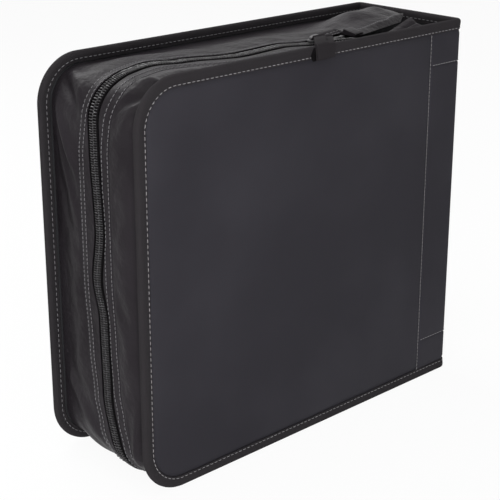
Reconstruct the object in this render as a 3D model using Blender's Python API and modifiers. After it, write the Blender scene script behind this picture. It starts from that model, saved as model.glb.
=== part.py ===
"""Large zip-round disc wallet, standing upright on its bottom edges.

X runs from the fore edge to the spine, Y from the front cover to the back cover,
Z upwards.  The origin is at the middle of the footprint.  Lengths are in metres.
"""
import math

import bmesh
import bpy
from mathutils import Matrix, Vector

# Overall sizes
WIDTH = 0.342
HEIGHT = 0.310
THICKNESS = 0.114
FORE_RADIUS = 0.036
GAP = 0.0003

# Layers of a cover and of the spine, from the outside in
COVER = 0.0054
BINDING_CLOTH = 0.0006
SKIN = 0.0009
LINING = 0.0004
BINDING_WIDTH = 0.0105

# Seams of the leatherette
SEAM_FROM_SPINE = 0.038
CAP_HEIGHT = 0.035

# Nylon gussets
GUSSET_INSET = 0.007
GUSSET_CLOTH = 0.0008
EDGE_RISE = 0.0045
BOTTOM_RISE = 0.0025
HEM_WIDTH = 0.011
HEM_SHARE = 0.62
HEM_GAP = 0.0012
WRINKLE_DEPTH = 0.0015
WRINKLE_LENGTH = 0.017
WRINKLE_REACH = 0.022
CORNER_STEP = 0.0035
RUN_STEP = 0.011
END_STEP = 0.0075
LOOSE_ROWS = 6

# Free ends of the gussets beyond the top end of the zip
BACK_END_LENGTH = 0.089
BACK_END_TRIM = 0.025
BACK_HEM_SHIFT = 0.007
BACK_PUFF = 0.0062
BACK_PUFF_START = 0.016
BACK_PUFF_SLOPE = 0.030
FRONT_END_LENGTH = 0.075
FRONT_FOLD_FROM_END = 0.007
FRONT_FOLD_HEIGHT = 0.0062
FRONT_FOLD_LENGTH = 0.016
FRONT_HEM_DIP = 0.009
BOTTOM_END_LENGTH = 0.009

# Zip: the course gives, along the top, the fore edge and the bottom, how far
# the zip's middle lies from the middle plane of the case
TAPE_END_FROM_SPINE = 0.100
BOTTOM_END_FROM_SPINE = 0.021
SLIT = 0.0014
COIL_WIDTH = 0.0040
COIL_HEIGHT = 0.0022
COIL_SHORT = 0.006
TAPE_WIDTH = 0.0115
TAPE_CLOTH = 0.0005
TAPE_OVERHANG = 0.0005
SPREAD = 0.007
SPREAD_LENGTH = 0.026
STOP_LENGTH = 0.003
ZIP_COURSE = (
    (0.000, -0.022),
    (0.130, -0.022),
    (0.178, 0.006),
    (0.222, -0.007),
    (0.270, -0.007),
    (0.330, -0.010),
    (0.368, -0.005),
    (0.398, -0.011),
    (0.455, -0.012),
    (0.515, -0.025),
    (0.560, -0.023),
)

# Zip slider and its pull
SLIDER_FROM_SPINE = 0.137
SLIDER_LENGTH = 0.014
SLIDER_WIDTH = 0.0116
SLIDER_NOSE = 0.0076
SLIDER_PLAY = 0.0005
LOWER_PLATE = 0.0009
UPPER_PLATE = 0.0012
LIP = 0.0003
LIP_WIDTH = 0.0008
WEB = 0.0008
WEB_LENGTH = 0.0035
BRIDGE_LENGTH = 0.003
BRIDGE_SPAN = 0.0052
BRIDGE_WALL = 0.0011
BRIDGE_OPENING = 0.0024
WIRE = 0.0014
LINK_NEAR_WIDTH = 0.0052
LINK_FAR_SHIFT = 0.009
LINK_BEND = 0.0012
LINK_FAR_SPARE = 0.0042
PULL_FROM_FRONT = 0.018
PULL_WIDTH = 0.020
PULL_CLOTH = 0.0016
PULL_DROP = 0.010
PULL_LEAN = 0.019

# Ring strip, rings and pages
STRIP_WIDTH = 0.024
STRIP_THICKNESS = 0.0015
STRIP_END = 0.016
SADDLE_WIDTH = 0.012
SADDLE_LENGTH = 0.010
SADDLE_HEIGHT = 0.0075
RING_COUNT = 3
RING_RADIUS = 0.017
RING_WIRE = 0.0032
RING_STANDOFF = 0.0047
RING_FROM_END = 0.045
RIVET_HEAD = 0.008
RIVET_HEAD_HEIGHT = 0.0011
RIVET_SHANK = 0.0036
RIVET_FROM_RING = 0.018
PAGES_THICKNESS = 0.030
PAGES_END_MARGIN = 0.015
PAGES_FORE_MARGIN = 0.021
PAGES_SPINE_MARGIN = 0.025

ARC_STEPS = 10
PARTS = "disc_wallet"


def start_scene():
    """Empty the scene and make the two collections."""
    for old in list(bpy.data.objects):
        bpy.data.objects.remove(old, do_unlink=True)
    found = {}
    for name in (PARTS, "cutters"):
        found[name] = bpy.data.collections.new(name)
        bpy.context.scene.collection.children.link(found[name])
    return found


COLLECTIONS = start_scene()


def material(name, colour, roughness, metallic=0.0):
    made = bpy.data.materials.new(name)
    made.use_nodes = True
    shader = made.node_tree.nodes["Principled BSDF"]
    shader.inputs["Base Color"].default_value = (*colour, 1.0)
    shader.inputs["Roughness"].default_value = roughness
    shader.inputs["Metallic"].default_value = metallic
    return made


LEATHERETTE = material("leatherette", (0.040, 0.039, 0.043), 0.62)
BINDING = material("binding", (0.024, 0.023, 0.024), 0.85)
NYLON = material("nylon", (0.040, 0.039, 0.042), 0.45)
TAPE = material("zip_tape", (0.022, 0.022, 0.023), 0.85)
COIL = material("zip_coil", (0.010, 0.010, 0.010), 0.40)
BOARD = material("board", (0.30, 0.27, 0.23), 0.90)
LINING_CLOTH = material("lining", (0.020, 0.020, 0.022), 0.90)
SLIDER_METAL = material("slider_metal", (0.030, 0.030, 0.032), 0.35, 0.9)
WEBBING = material("webbing", (0.015, 0.015, 0.016), 0.80)
PLASTIC = material("strip_plastic", (0.018, 0.018, 0.020), 0.45)
STEEL = material("ring_steel", (0.60, 0.60, 0.62), 0.25, 1.0)
PAGES = material("pages", (0.10, 0.10, 0.11), 0.50)


def pivot(name, place, parent=None):
    """An empty on a joint's axis, to carry what turns or slides on it."""
    empty = bpy.data.objects.new(name, None)
    empty.location = place
    COLLECTIONS[PARTS].objects.link(empty)
    bpy.context.view_layer.update()
    if parent:
        hang(empty, parent)
    return empty


def hang(obj, parent):
    """Parent an object and leave it where it is."""
    bpy.context.view_layer.update()
    obj.parent = parent
    obj.matrix_parent_inverse = parent.matrix_world.inverted()


def own(name, mesh, paint, parent=None, collection=PARTS):
    """Make a mesh into a named piece."""
    mesh.name = name
    mesh.materials.clear()
    if paint:
        mesh.materials.append(paint)
    obj = bpy.data.objects.new(name, mesh)
    COLLECTIONS[collection].objects.link(obj)
    if collection != PARTS:
        obj.hide_render = True
        obj.display_type = "WIRE"
    if parent:
        hang(obj, parent)
    return obj


def curve_mesh(curve, turn=Matrix.Identity(4)):
    """The welded mesh of a curve, turned into its place."""
    helper = bpy.data.objects.new("outline", curve)
    COLLECTIONS["cutters"].objects.link(helper)
    graph = bpy.context.evaluated_depsgraph_get()
    mesh = bpy.data.meshes.new_from_object(helper.evaluated_get(graph))
    bpy.data.objects.remove(helper)
    bpy.data.curves.remove(curve)
    work = bmesh.new()
    work.from_mesh(mesh)
    bmesh.ops.remove_doubles(work, verts=work.verts, dist=0.000002)
    bmesh.ops.transform(work, matrix=turn, verts=work.verts)
    bmesh.ops.recalc_face_normals(work, faces=work.faces)
    work.to_mesh(mesh)
    work.free()
    return mesh


def flat_plate(outline, thickness, turn):
    """A flat outline with a thickness, its middle in the plane it is turned to."""
    curve = bpy.data.curves.new("outline", "CURVE")
    curve.dimensions = "2D"
    curve.fill_mode = "BOTH"
    curve.extrude = thickness / 2
    spline = curve.splines.new("POLY")
    spline.points.add(len(outline) - 1)
    for point, (a, b) in zip(spline.points, outline):
        point.co = (a, b, 0.0, 1.0)
    spline.use_cyclic_u = True
    return curve_mesh(curve, turn)


def upright(y):
    """Turns an outline in X and Z to the plane at y."""
    return Matrix.Translation((0.0, y, 0.0)) @ Matrix.Rotation(math.pi / 2, 4, "X")


def crosswise(x):
    """Turns an outline in Y and Z to the plane at x."""
    turn = Matrix.Rotation(math.pi / 2, 4, "Z") @ Matrix.Rotation(math.pi / 2, 4, "X")
    return Matrix.Translation((x, 0.0, 0.0)) @ turn


def level(z):
    """Turns an outline in X and Y to the plane at z."""
    return Matrix.Translation((0.0, 0.0, z))


def box_mesh(low, high):
    """A box between two corners."""
    work = bmesh.new()
    bmesh.ops.create_cube(work, size=1.0)
    low, high = Vector(low), Vector(high)
    for vertex in work.verts:
        share = vertex.co + Vector((0.5, 0.5, 0.5))
        vertex.co = low + Vector(a * b for a, b in zip(high - low, share))
    mesh = bpy.data.meshes.new("box")
    work.to_mesh(mesh)
    work.free()
    return mesh


def rod_mesh(radius, low, high, sides=16):
    """A rod along X between two points."""
    low, high = Vector(low), Vector(high)
    work = bmesh.new()
    turn = Matrix.Translation((low + high) / 2) @ Matrix.Rotation(math.pi / 2, 4, "Y")
    bmesh.ops.create_cone(
        work, cap_ends=True, segments=sides, radius1=radius, radius2=radius,
        depth=(high - low).length, matrix=turn,
    )
    mesh = bpy.data.meshes.new("rod")
    work.to_mesh(mesh)
    work.free()
    return mesh


def combine(target, tool_mesh, operation):
    """Join a mesh to a piece or cut it from the piece."""
    tool = own(target.name + "_tool", tool_mesh, None, collection="cutters")
    step = target.modifiers.new(operation.lower(), "BOOLEAN")
    step.object = tool
    step.operation = operation
    step.solver = "EXACT"


def smooth(value):
    """0 below 0, 1 above 1, and an even slope change between."""
    value = min(max(value, 0.0), 1.0)
    return value * value * (3.0 - 2.0 * value)


def bump(value):
    """1 at 0, falling evenly to 0 at -1 and 1."""
    return smooth(1.0 - abs(value))


# Places worked out from the sizes
HALF_WIDTH = WIDTH / 2
HALF_THICKNESS = THICKNESS / 2
INNER_FACE = HALF_THICKNESS - COVER - GAP
SLOT_EDGE = BINDING_CLOTH + GAP
TAPE_END_X = HALF_WIDTH - TAPE_END_FROM_SPINE
FORE_CENTRE_X = -HALF_WIDTH + FORE_RADIUS
TOP_RUN = TAPE_END_X - FORE_CENTRE_X
CORNER_RUN = (FORE_RADIUS - GUSSET_INSET) * math.pi / 2
EDGE_RUN = HEIGHT - 2 * FORE_RADIUS
CORNER_1 = TOP_RUN + CORNER_RUN
CORNER_2 = CORNER_1 + EDGE_RUN
BOTTOM_START = CORNER_2 + CORNER_RUN
BOTTOM_END = BOTTOM_START + HALF_WIDTH - BOTTOM_END_FROM_SPINE - FORE_CENTRE_X
PANEL_DEPTH = BINDING_CLOTH + GAP
BOARD_DEPTH = PANEL_DEPTH + SKIN + GAP
LINING_DEPTH = COVER - BINDING_CLOTH - GAP - LINING
BOARD_THICKNESS = LINING_DEPTH - GAP - BOARD_DEPTH
SURFACE_Z = HEIGHT - GUSSET_INSET
TAPE_TOP = -GUSSET_CLOTH - GAP
COIL_TOP = TAPE_TOP + GAP + COIL_HEIGHT


def rim(distance, rise):
    """Place on the gussets' course round the three open sides.

    The distance runs from the top end of the zip tape to the fore edge and round
    to the bottom; the rise is measured outwards from the gusset's seat.
    """
    radius = FORE_RADIUS - GUSSET_INSET
    if distance < TOP_RUN:
        return TAPE_END_X - distance, SURFACE_Z + rise
    if distance < CORNER_1:
        angle = math.pi / 2 + (distance - TOP_RUN) / radius
        reach = radius + rise
        return FORE_CENTRE_X + reach * math.cos(angle), HEIGHT - FORE_RADIUS + reach * math.sin(angle)
    if distance < CORNER_2:
        return -HALF_WIDTH + GUSSET_INSET - rise, HEIGHT - FORE_RADIUS - (distance - CORNER_1)
    if distance < BOTTOM_START:
        angle = math.pi + (distance - CORNER_2) / radius
        reach = radius + rise
        return FORE_CENTRE_X + reach * math.cos(angle), FORE_RADIUS + reach * math.sin(angle)
    return FORE_CENTRE_X + distance - BOTTOM_START, GUSSET_INSET - rise


def zip_middle(distance):
    """Y of the middle of the zip along its course."""
    if distance <= ZIP_COURSE[0][0]:
        return ZIP_COURSE[0][1]
    for (start, low), (end, high) in zip(ZIP_COURSE, ZIP_COURSE[1:]):
        if distance <= end:
            return low + (high - low) * smooth((distance - start) / (end - start))
    return ZIP_COURSE[-1][1]


def zip_rise(distance):
    """How far the zip stands out from the gussets' seats at the covers."""
    first = smooth((distance - TOP_RUN) / CORNER_RUN)
    second = smooth((distance - CORNER_2) / CORNER_RUN)
    return EDGE_RISE * first + (BOTTOM_RISE - EDGE_RISE) * second


def coil_start(side, distance):
    """Y of a coil half's edge at the slit; the front half drifts off past the slider."""
    apart = SPREAD * smooth(1.0 - distance / SPREAD_LENGTH) if side < 0 else 0.0
    return zip_middle(distance) + side * (SLIT / 2 + apart)


def hem_edge(side, distance):
    """Y of a gusset's free edge."""
    edge = coil_start(side, distance) + side * (COIL_WIDTH + HEM_GAP)
    if distance >= 0.0:
        return edge
    if side > 0:
        return edge - BACK_HEM_SHIFT * smooth(-distance / BACK_HEM_SHIFT)
    fold = FRONT_END_LENGTH - FRONT_FOLD_FROM_END
    return edge - FRONT_HEM_DIP * bump((-distance - fold / 2) / (fold / 2))


def wrinkle(distance, share):
    """Slanted folds of the nylon at the two fore corners."""
    window = 0.0
    for start in (TOP_RUN, CORNER_2):
        middle = start + CORNER_RUN / 2
        window += bump((distance - middle) / (CORNER_RUN / 2 + WRINKLE_REACH))
    wave = math.sin(2 * math.pi * distance / WRINKLE_LENGTH + math.pi * share)
    return WRINKLE_DEPTH * wave * window * math.sin(math.pi * share)


def end_lift(side, distance, share):
    """The puffed back end and the turned-up fold of the front end, past the zip."""
    if distance >= 0.0:
        return 0.0
    if side > 0:
        along = smooth((-distance - BACK_PUFF_START) / BACK_PUFF_SLOPE)
        return BACK_PUFF * along * smooth(share * 4)
    fold = FRONT_END_LENGTH - FRONT_FOLD_FROM_END
    return FRONT_FOLD_HEIGHT * bump((-distance - fold) / FRONT_FOLD_LENGTH) * share


def gusset_point(side, distance, row):
    """A point of a gusset: rows 0 to 1 are the loose cloth, row 2 is the free edge."""
    share = min(row, 1.0)
    if distance < 0.0 and side > 0:
        distance *= 1.0 - BACK_END_TRIM / BACK_END_LENGTH * (row / 2) ** 5
    edge = hem_edge(side, distance)
    fold = edge + side * min(HEM_WIDTH, (INNER_FACE - side * edge) * HEM_SHARE)
    y = side * INNER_FACE + (fold - side * INNER_FACE) * share
    if row > 1.0:
        y = fold + (edge - fold) * (row - 1.0)
    rise = zip_rise(distance) * smooth(share) + wrinkle(distance, share) + end_lift(side, distance, row / 2)
    x, z = rim(distance, rise)
    return x, y, z


def course_marks():
    """Distances along the whole course, closer together where the cloth bends."""
    marks = [-max(BACK_END_LENGTH, FRONT_END_LENGTH)]
    bends = [(start - WRINKLE_REACH, start + CORNER_RUN + WRINKLE_REACH) for start in (TOP_RUN, CORNER_2)]
    while marks[-1] < BOTTOM_END + BOTTOM_END_LENGTH:
        here = marks[-1]
        step = END_STEP if here < 0.0 else RUN_STEP
        stops = [0.0] + [mark for bend in bends for mark in bend]
        if any(first <= here < last for first, last in bends):
            step = CORNER_STEP
        ahead = [stop for stop in stops if here < stop < here + step]
        marks.append(ahead[0] if ahead else here + step)
    return marks


def stations(start, end):
    """The marks of the course between two distances, with the two ends."""
    near = CORNER_STEP / 3
    inside = [mark for mark in course_marks() if start + near < mark < end - near]
    return [start] + inside + [end]


def cloth(name, side, columns, rows, place, thickness, paint, parent):
    """A sheet over a grid of columns and rows, thickened inwards."""
    work = bmesh.new()
    bmesh.ops.create_grid(work, x_segments=len(columns) - 1, y_segments=len(rows) - 1, size=0.5)
    for vertex in work.verts:
        column = round((vertex.co.x + 0.5) * (len(columns) - 1))
        row = round((vertex.co.y + 0.5) * (len(rows) - 1))
        vertex.co = place(columns[column], rows[row])
    if side < 0:
        bmesh.ops.reverse_faces(work, faces=work.faces)
    mesh = bpy.data.meshes.new(name)
    work.to_mesh(mesh)
    work.free()
    obj = own(name, mesh, paint, parent)
    shell = obj.modifiers.new("thickness", "SOLIDIFY")
    shell.thickness = thickness
    shell.offset = -1.0
    mesh.shade_smooth()
    return obj


def cover_outline(inset, right):
    """A cover's outline in X and Z, round at the fore corners and square at the spine."""
    radius = FORE_RADIUS - inset
    points = [(right, inset), (right, HEIGHT - inset)]
    for centre_z, first in ((HEIGHT - FORE_RADIUS, math.pi / 2), (FORE_RADIUS, math.pi)):
        for step in range(ARC_STEPS + 1):
            angle = first + math.pi / 2 * step / ARC_STEPS
            points.append((FORE_CENTRE_X + radius * math.cos(angle), centre_z + radius * math.sin(angle)))
    return points


def rectangle(a, b, c, d):
    """An outline from (a, c) to (b, d)."""
    return [(a, c), (b, c), (b, d), (a, d)]


def clip_right(outline, limit):
    """The outline with its two spine-side corners moved to the limit."""
    return [(min(a, limit), b) for a, b in outline]


def build_cover(word, side, parent):
    """One cover: leatherette in four panels, board, lining and the bound edge."""

    def layer(depth, thickness):
        return side * (HALF_THICKNESS - depth - thickness / 2)

    seam = HALF_WIDTH - SEAM_FROM_SPINE
    body = clip_right(cover_outline(SLOT_EDGE, HALF_WIDTH), seam - GAP / 2)
    skin = upright(layer(PANEL_DEPTH, SKIN))
    own(f"{word}_panel", flat_plate(body, SKIN, skin), LEATHERETTE, parent)
    pieces = {
        "bottom_cap": (SLOT_EDGE, CAP_HEIGHT - GAP / 2),
        "hinge_strip": (CAP_HEIGHT + GAP / 2, HEIGHT - CAP_HEIGHT - GAP / 2),
        "top_cap": (HEIGHT - CAP_HEIGHT + GAP / 2, HEIGHT - SLOT_EDGE),
    }
    for piece, (low, high) in pieces.items():
        outline = rectangle(seam + GAP / 2, HALF_WIDTH, low, high)
        own(f"{word}_{piece}", flat_plate(outline, SKIN, skin), LEATHERETTE, parent)
    inner = cover_outline(SLOT_EDGE, HALF_WIDTH)
    board = upright(layer(BOARD_DEPTH, BOARD_THICKNESS))
    own(f"{word}_board", flat_plate(inner, BOARD_THICKNESS, board), BOARD, parent)
    lining = upright(layer(LINING_DEPTH, LINING))
    own(f"{word}_lining", flat_plate(inner, LINING, lining), LINING_CLOTH, parent)

    edge = flat_plate(cover_outline(0.0, HALF_WIDTH), COVER, upright(layer(0.0, COVER)))
    binding = own(f"{word}_binding", edge, BINDING, parent)
    beyond = HALF_WIDTH + BINDING_WIDTH
    slot = COVER - 2 * BINDING_CLOTH
    window = flat_plate(cover_outline(BINDING_WIDTH, beyond), 2 * COVER, upright(layer(0.0, COVER)))
    combine(binding, window, "DIFFERENCE")
    hollow = flat_plate(cover_outline(BINDING_CLOTH, beyond), slot, upright(layer(BINDING_CLOTH, slot)))
    combine(binding, hollow, "DIFFERENCE")


def build_gusset(word, side, parent):
    """One nylon gusset with its half of the zip."""
    past_top = BACK_END_LENGTH if side > 0 else FRONT_END_LENGTH
    rows = [step / LOOSE_ROWS for step in range(LOOSE_ROWS + 1)] + [2.0]
    columns = stations(-past_top, BOTTOM_END + BOTTOM_END_LENGTH)

    def gusset_place(distance, row):
        return gusset_point(side, distance, row)

    cloth(f"{word}_gusset", side, columns, rows, gusset_place, GUSSET_CLOTH, NYLON, parent)

    def strip_place(start, width, top):
        def place(distance, row):
            y = coil_start(side, distance) + side * (start + width * row)
            x, z = rim(distance, zip_rise(distance) + top)
            return x, y, z
        return place

    columns = stations(0.0, BOTTOM_END)
    place = strip_place(TAPE_OVERHANG, TAPE_WIDTH, TAPE_TOP)
    cloth(f"{word}_zip_tape", side, columns, (1.0, 0.0), place, TAPE_CLOTH, TAPE, parent)
    first, last = COIL_SHORT, BOTTOM_END - COIL_SHORT
    place = strip_place(0.0, COIL_WIDTH, COIL_TOP)
    columns = stations(first, last)
    cloth(f"{word}_zip_coil", side, columns, (1.0, 0.0), place, COIL_HEIGHT, COIL, parent)
    for end, near in (("top", first - GAP - STOP_LENGTH), ("bottom", last + GAP)):
        columns = (near, near + STOP_LENGTH)
        cloth(f"{word}_{end}_stop", side, columns, (1.0, 0.0), place, COIL_HEIGHT, SLIDER_METAL, parent)


def build_spine():
    """Spine: leatherette in three panels, board, lining and two bound ends."""

    def layer(depth, thickness):
        return HALF_WIDTH - depth - thickness / 2

    pieces = {
        "bottom_cap": (SLOT_EDGE, CAP_HEIGHT - GAP / 2),
        "panel": (CAP_HEIGHT + GAP / 2, HEIGHT - CAP_HEIGHT - GAP / 2),
        "top_cap": (HEIGHT - CAP_HEIGHT + GAP / 2, HEIGHT - SLOT_EDGE),
    }
    skin = crosswise(layer(PANEL_DEPTH, SKIN))
    for piece, (low, high) in pieces.items():
        outline = rectangle(-INNER_FACE, INNER_FACE, low, high)
        own(f"spine_{piece}", flat_plate(outline, SKIN, skin), LEATHERETTE)
    inner = rectangle(-INNER_FACE, INNER_FACE, SLOT_EDGE, HEIGHT - SLOT_EDGE)
    board = crosswise(layer(BOARD_DEPTH, BOARD_THICKNESS))
    board = own("spine_board", flat_plate(inner, BOARD_THICKNESS, board), BOARD)
    lining = crosswise(layer(LINING_DEPTH, LINING))
    lining = own("spine_lining", flat_plate(inner, LINING, lining), LINING_CLOTH)
    inside = HALF_WIDTH - COVER + BINDING_CLOTH
    outside = HALF_WIDTH - BINDING_CLOTH
    reach = HALF_THICKNESS + COVER
    for word, low, high, slot_low, slot_high in (
        ("top", HEIGHT - BINDING_WIDTH, HEIGHT, HEIGHT - BINDING_WIDTH - COVER, HEIGHT - BINDING_CLOTH),
        ("bottom", 0.0, BINDING_WIDTH, BINDING_CLOTH, BINDING_WIDTH + COVER),
    ):
        tape = box_mesh((HALF_WIDTH - COVER, -INNER_FACE, low), (HALF_WIDTH, INNER_FACE, high))
        binding = own(f"spine_{word}_binding", tape, BINDING)
        slot = box_mesh((inside, -reach, slot_low), (outside, reach, slot_high))
        combine(binding, slot, "DIFFERENCE")
    return board, lining


def ring_mesh(centre, radius, wire, steps=28, sides=8):
    """A ring lying level round its centre."""
    curve = bpy.data.curves.new("ring", "CURVE")
    curve.dimensions = "3D"
    curve.bevel_depth = wire / 2
    curve.bevel_resolution = sides // 4
    spline = curve.splines.new("POLY")
    spline.points.add(steps - 1)
    for step, point in enumerate(spline.points):
        angle = 2 * math.pi * step / steps
        point.co = (radius * math.cos(angle), radius * math.sin(angle), 0.0, 1.0)
    spline.use_cyclic_u = True
    return curve_mesh(curve, Matrix.Translation(centre))


def build_rings(board, lining):
    """Ring strip riveted to the spine, its rings and the block of sleeve pages."""
    seat = HALF_WIDTH - LINING_DEPTH - LINING - GAP
    face = seat - STRIP_THICKNESS
    ring_x = face - RING_STANDOFF - RING_RADIUS
    span = HEIGHT - 2 * RING_FROM_END
    heights = [RING_FROM_END + span * k / (RING_COUNT - 1) for k in range(RING_COUNT)]
    low = (face, -STRIP_WIDTH / 2, STRIP_END)
    high = (seat, STRIP_WIDTH / 2, HEIGHT - STRIP_END)
    strip = own("ring_strip", box_mesh(low, high), PLASTIC)
    fore = -HALF_WIDTH + PAGES_FORE_MARGIN
    spine = HALF_WIDTH - PAGES_SPINE_MARGIN
    low = (fore, -PAGES_THICKNESS / 2, PAGES_END_MARGIN)
    high = (spine, PAGES_THICKNESS / 2, HEIGHT - PAGES_END_MARGIN)
    pages = own("page_block", box_mesh(low, high), PAGES)
    for number, z in enumerate(heights, 1):
        low = (face - SADDLE_HEIGHT, -SADDLE_WIDTH / 2, z - SADDLE_LENGTH / 2)
        high = (seat - STRIP_THICKNESS / 2, SADDLE_WIDTH / 2, z + SADDLE_LENGTH / 2)
        combine(strip, box_mesh(low, high), "UNION")
        centre = (ring_x, 0.0, z)
        own(f"ring_{number}", ring_mesh(centre, RING_RADIUS, RING_WIRE), STEEL)
        hole = RING_WIRE + 2 * GAP
        combine(strip, ring_mesh(centre, RING_RADIUS, hole), "DIFFERENCE")
        combine(pages, ring_mesh(centre, RING_RADIUS, hole), "DIFFERENCE")
    board_back = HALF_WIDTH - BOARD_DEPTH
    head_top = face - GAP - RIVET_HEAD_HEIGHT
    ends = (heights[0] - RIVET_FROM_RING, heights[-1] + RIVET_FROM_RING)
    for number, z in enumerate(ends, 1):
        head = rod_mesh(RIVET_HEAD / 2, (head_top, 0.0, z), (face - GAP, 0.0, z))
        rivet = own(f"strip_rivet_{number}", head, STEEL)
        shank = rod_mesh(RIVET_SHANK / 2, (head_top + RIVET_HEAD_HEIGHT / 2, 0.0, z), (board_back, 0.0, z))
        combine(rivet, shank, "UNION")
        for piece in (strip, lining, board):
            hole = rod_mesh(RIVET_SHANK / 2 + GAP, (face - COVER, 0.0, z), (HALF_WIDTH, 0.0, z))
            combine(piece, hole, "DIFFERENCE")


def build_slider(x, parent):
    """The slider: two plates, the web between them and a bridge for the pull's link."""
    y = ZIP_COURSE[0][1]
    lower_top = SURFACE_Z + TAPE_TOP - TAPE_CLOTH - SLIDER_PLAY
    upper_low = SURFACE_Z + COIL_TOP + SLIDER_PLAY
    upper_top = upper_low + UPPER_PLATE
    tail, head = x - SLIDER_LENGTH / 2, x + SLIDER_LENGTH / 2
    half, nose = SLIDER_WIDTH / 2, SLIDER_NOSE / 2
    outline = [
        (tail, y - half), (x, y - half), (head, y - nose),
        (head, y + nose), (x, y + half), (tail, y + half),
    ]
    plate = flat_plate(outline, UPPER_PLATE, level(upper_low + UPPER_PLATE / 2))
    slider = own("zip_slider", plate, SLIDER_METAL, parent)
    lower = flat_plate(outline, LOWER_PLATE, level(lower_top - LOWER_PLATE / 2))
    web_low = (head - WEB_LENGTH, y - WEB / 2, lower_top - LOWER_PLATE / 2)
    web_high = (head - WEB, y + WEB / 2, upper_low + UPPER_PLATE / 2)
    combine(slider, box_mesh(web_low, web_high), "UNION")
    combine(slider, lower, "UNION")
    for side in (-1, 1):
        edges = sorted((y + side * (half - LIP_WIDTH), y + side * half))
        low = (tail, edges[0], upper_low - LIP)
        high = (x, edges[1], upper_low + UPPER_PLATE / 2)
        combine(slider, box_mesh(low, high), "UNION")
    outer = BRIDGE_SPAN / 2 + BRIDGE_WALL
    low = (x - BRIDGE_LENGTH / 2, y - outer, upper_top - UPPER_PLATE / 2)
    high = (x + BRIDGE_LENGTH / 2, y + outer, upper_top + BRIDGE_OPENING + BRIDGE_WALL)
    combine(slider, box_mesh(low, high), "UNION")
    low = (x - BRIDGE_LENGTH, y - BRIDGE_SPAN / 2, upper_top)
    high = (x + BRIDGE_LENGTH, y + BRIDGE_SPAN / 2, upper_top + BRIDGE_OPENING)
    combine(slider, box_mesh(low, high), "DIFFERENCE")


def rounded_loop(corners, bend, steps=4):
    """A closed outline in space with each corner rounded."""
    points = []
    count = len(corners)
    for index, corner in enumerate(corners):
        before = (corners[index - 1] - corner).normalized()
        after = (corners[(index + 1) % count] - corner).normalized()
        for step in range(steps + 1):
            share = step / steps
            start, end = corner + before * bend, corner + after * bend
            points.append(start.lerp(corner, share).lerp(corner.lerp(end, share), share))
    return points


def build_pull(x, parent):
    """The wire link in the slider's bridge and the webbing pull over the front edge."""
    y = ZIP_COURSE[0][1]
    pin_z = SURFACE_Z + COIL_TOP + SLIDER_PLAY + UPPER_PLATE + BRIDGE_OPENING / 2
    eye_y = -HALF_THICKNESS + PULL_FROM_FRONT
    eye_z = HEIGHT + GAP + PULL_CLOTH / 2
    eye_x = x - LINK_FAR_SHIFT
    near, far = LINK_NEAR_WIDTH / 2, PULL_WIDTH / 2 + LINK_FAR_SPARE
    corners = [
        Vector((x - near, y, pin_z)), Vector((x + near, y, pin_z)),
        Vector((eye_x + far, eye_y, eye_z)), Vector((eye_x - far, eye_y, eye_z)),
    ]
    curve = bpy.data.curves.new("link", "CURVE")
    curve.dimensions = "3D"
    curve.bevel_depth = WIRE / 2
    curve.bevel_resolution = 2
    spline = curve.splines.new("POLY")
    loop = rounded_loop(corners, LINK_BEND)
    spline.points.add(len(loop) - 1)
    for point, place in zip(spline.points, loop):
        point.co = (*place, 1.0)
    spline.use_cyclic_u = True
    own("puller_link", curve_mesh(curve), SLIDER_METAL, parent)

    outer = WIRE / 2 + GAP + PULL_CLOTH / 2
    front_y = -HALF_THICKNESS - GAP - PULL_CLOTH / 2
    bend = GAP + PULL_CLOTH / 2
    route = [(0.0, eye_y - outer + PULL_CLOTH / 4, eye_z)]
    for share in (0.3, 0.6):
        route.append((share, eye_y - (HALF_THICKNESS + eye_y) * share, eye_z))
    for step in range(5):
        angle = math.pi / 2 * step / 4
        route.append((1.0, -HALF_THICKNESS - bend * math.sin(angle), HEIGHT + bend * math.cos(angle)))
    route.append((1.0, front_y, HEIGHT - PULL_DROP))

    def place(point, row):
        lean, place_y, place_z = point
        return eye_x - PULL_LEAN * lean + PULL_WIDTH * row, place_y, place_z

    strap = cloth("pull_tab", 1, route, (0.5, -0.5), place, PULL_CLOTH, WEBBING, parent)
    strap.modifiers["thickness"].offset = 0.0
    half = PULL_WIDTH / 2
    rod_low, rod_high = (eye_x - half, eye_y, eye_z), (eye_x + half, eye_y, eye_z)
    combine(strap, rod_mesh(outer, rod_low, rod_high), "UNION")
    rod_low = (eye_x - PULL_WIDTH, eye_y, eye_z)
    rod_high = (eye_x + PULL_WIDTH, eye_y, eye_z)
    combine(strap, rod_mesh(WIRE / 2 + GAP, rod_low, rod_high), "DIFFERENCE")


def build():
    """All pieces, hung on the axes they turn or slide on."""
    front_axis = pivot("front_cover_axis", (HALF_WIDTH, -HALF_THICKNESS, 0.0))
    back_axis = pivot("back_cover_axis", (HALF_WIDTH, HALF_THICKNESS, 0.0))
    slider_x = HALF_WIDTH - SLIDER_FROM_SPINE
    slider_axis = pivot("slider_axis", (slider_x, ZIP_COURSE[0][1], SURFACE_Z), front_axis)
    pin_z = SURFACE_Z + COIL_TOP + SLIDER_PLAY + UPPER_PLATE + BRIDGE_OPENING / 2
    puller_axis = pivot("puller_axis", (slider_x, ZIP_COURSE[0][1], pin_z), slider_axis)
    for word, side, axis in (("front", -1, front_axis), ("back", 1, back_axis)):
        build_cover(word, side, axis)
        build_gusset(word, side, axis)
    build_rings(*build_spine())
    build_slider(slider_x, slider_axis)
    build_pull(slider_x, puller_axis)


build()
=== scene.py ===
"""Looks of a large zip-round disc wallet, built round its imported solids.

X runs from the fore edge to the spine, Y from the front cover to the back cover,
Z upwards.  Lengths are in metres.
"""
import math

import bmesh
import bpy
import numpy as np
from mathutils import Matrix, Vector


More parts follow.
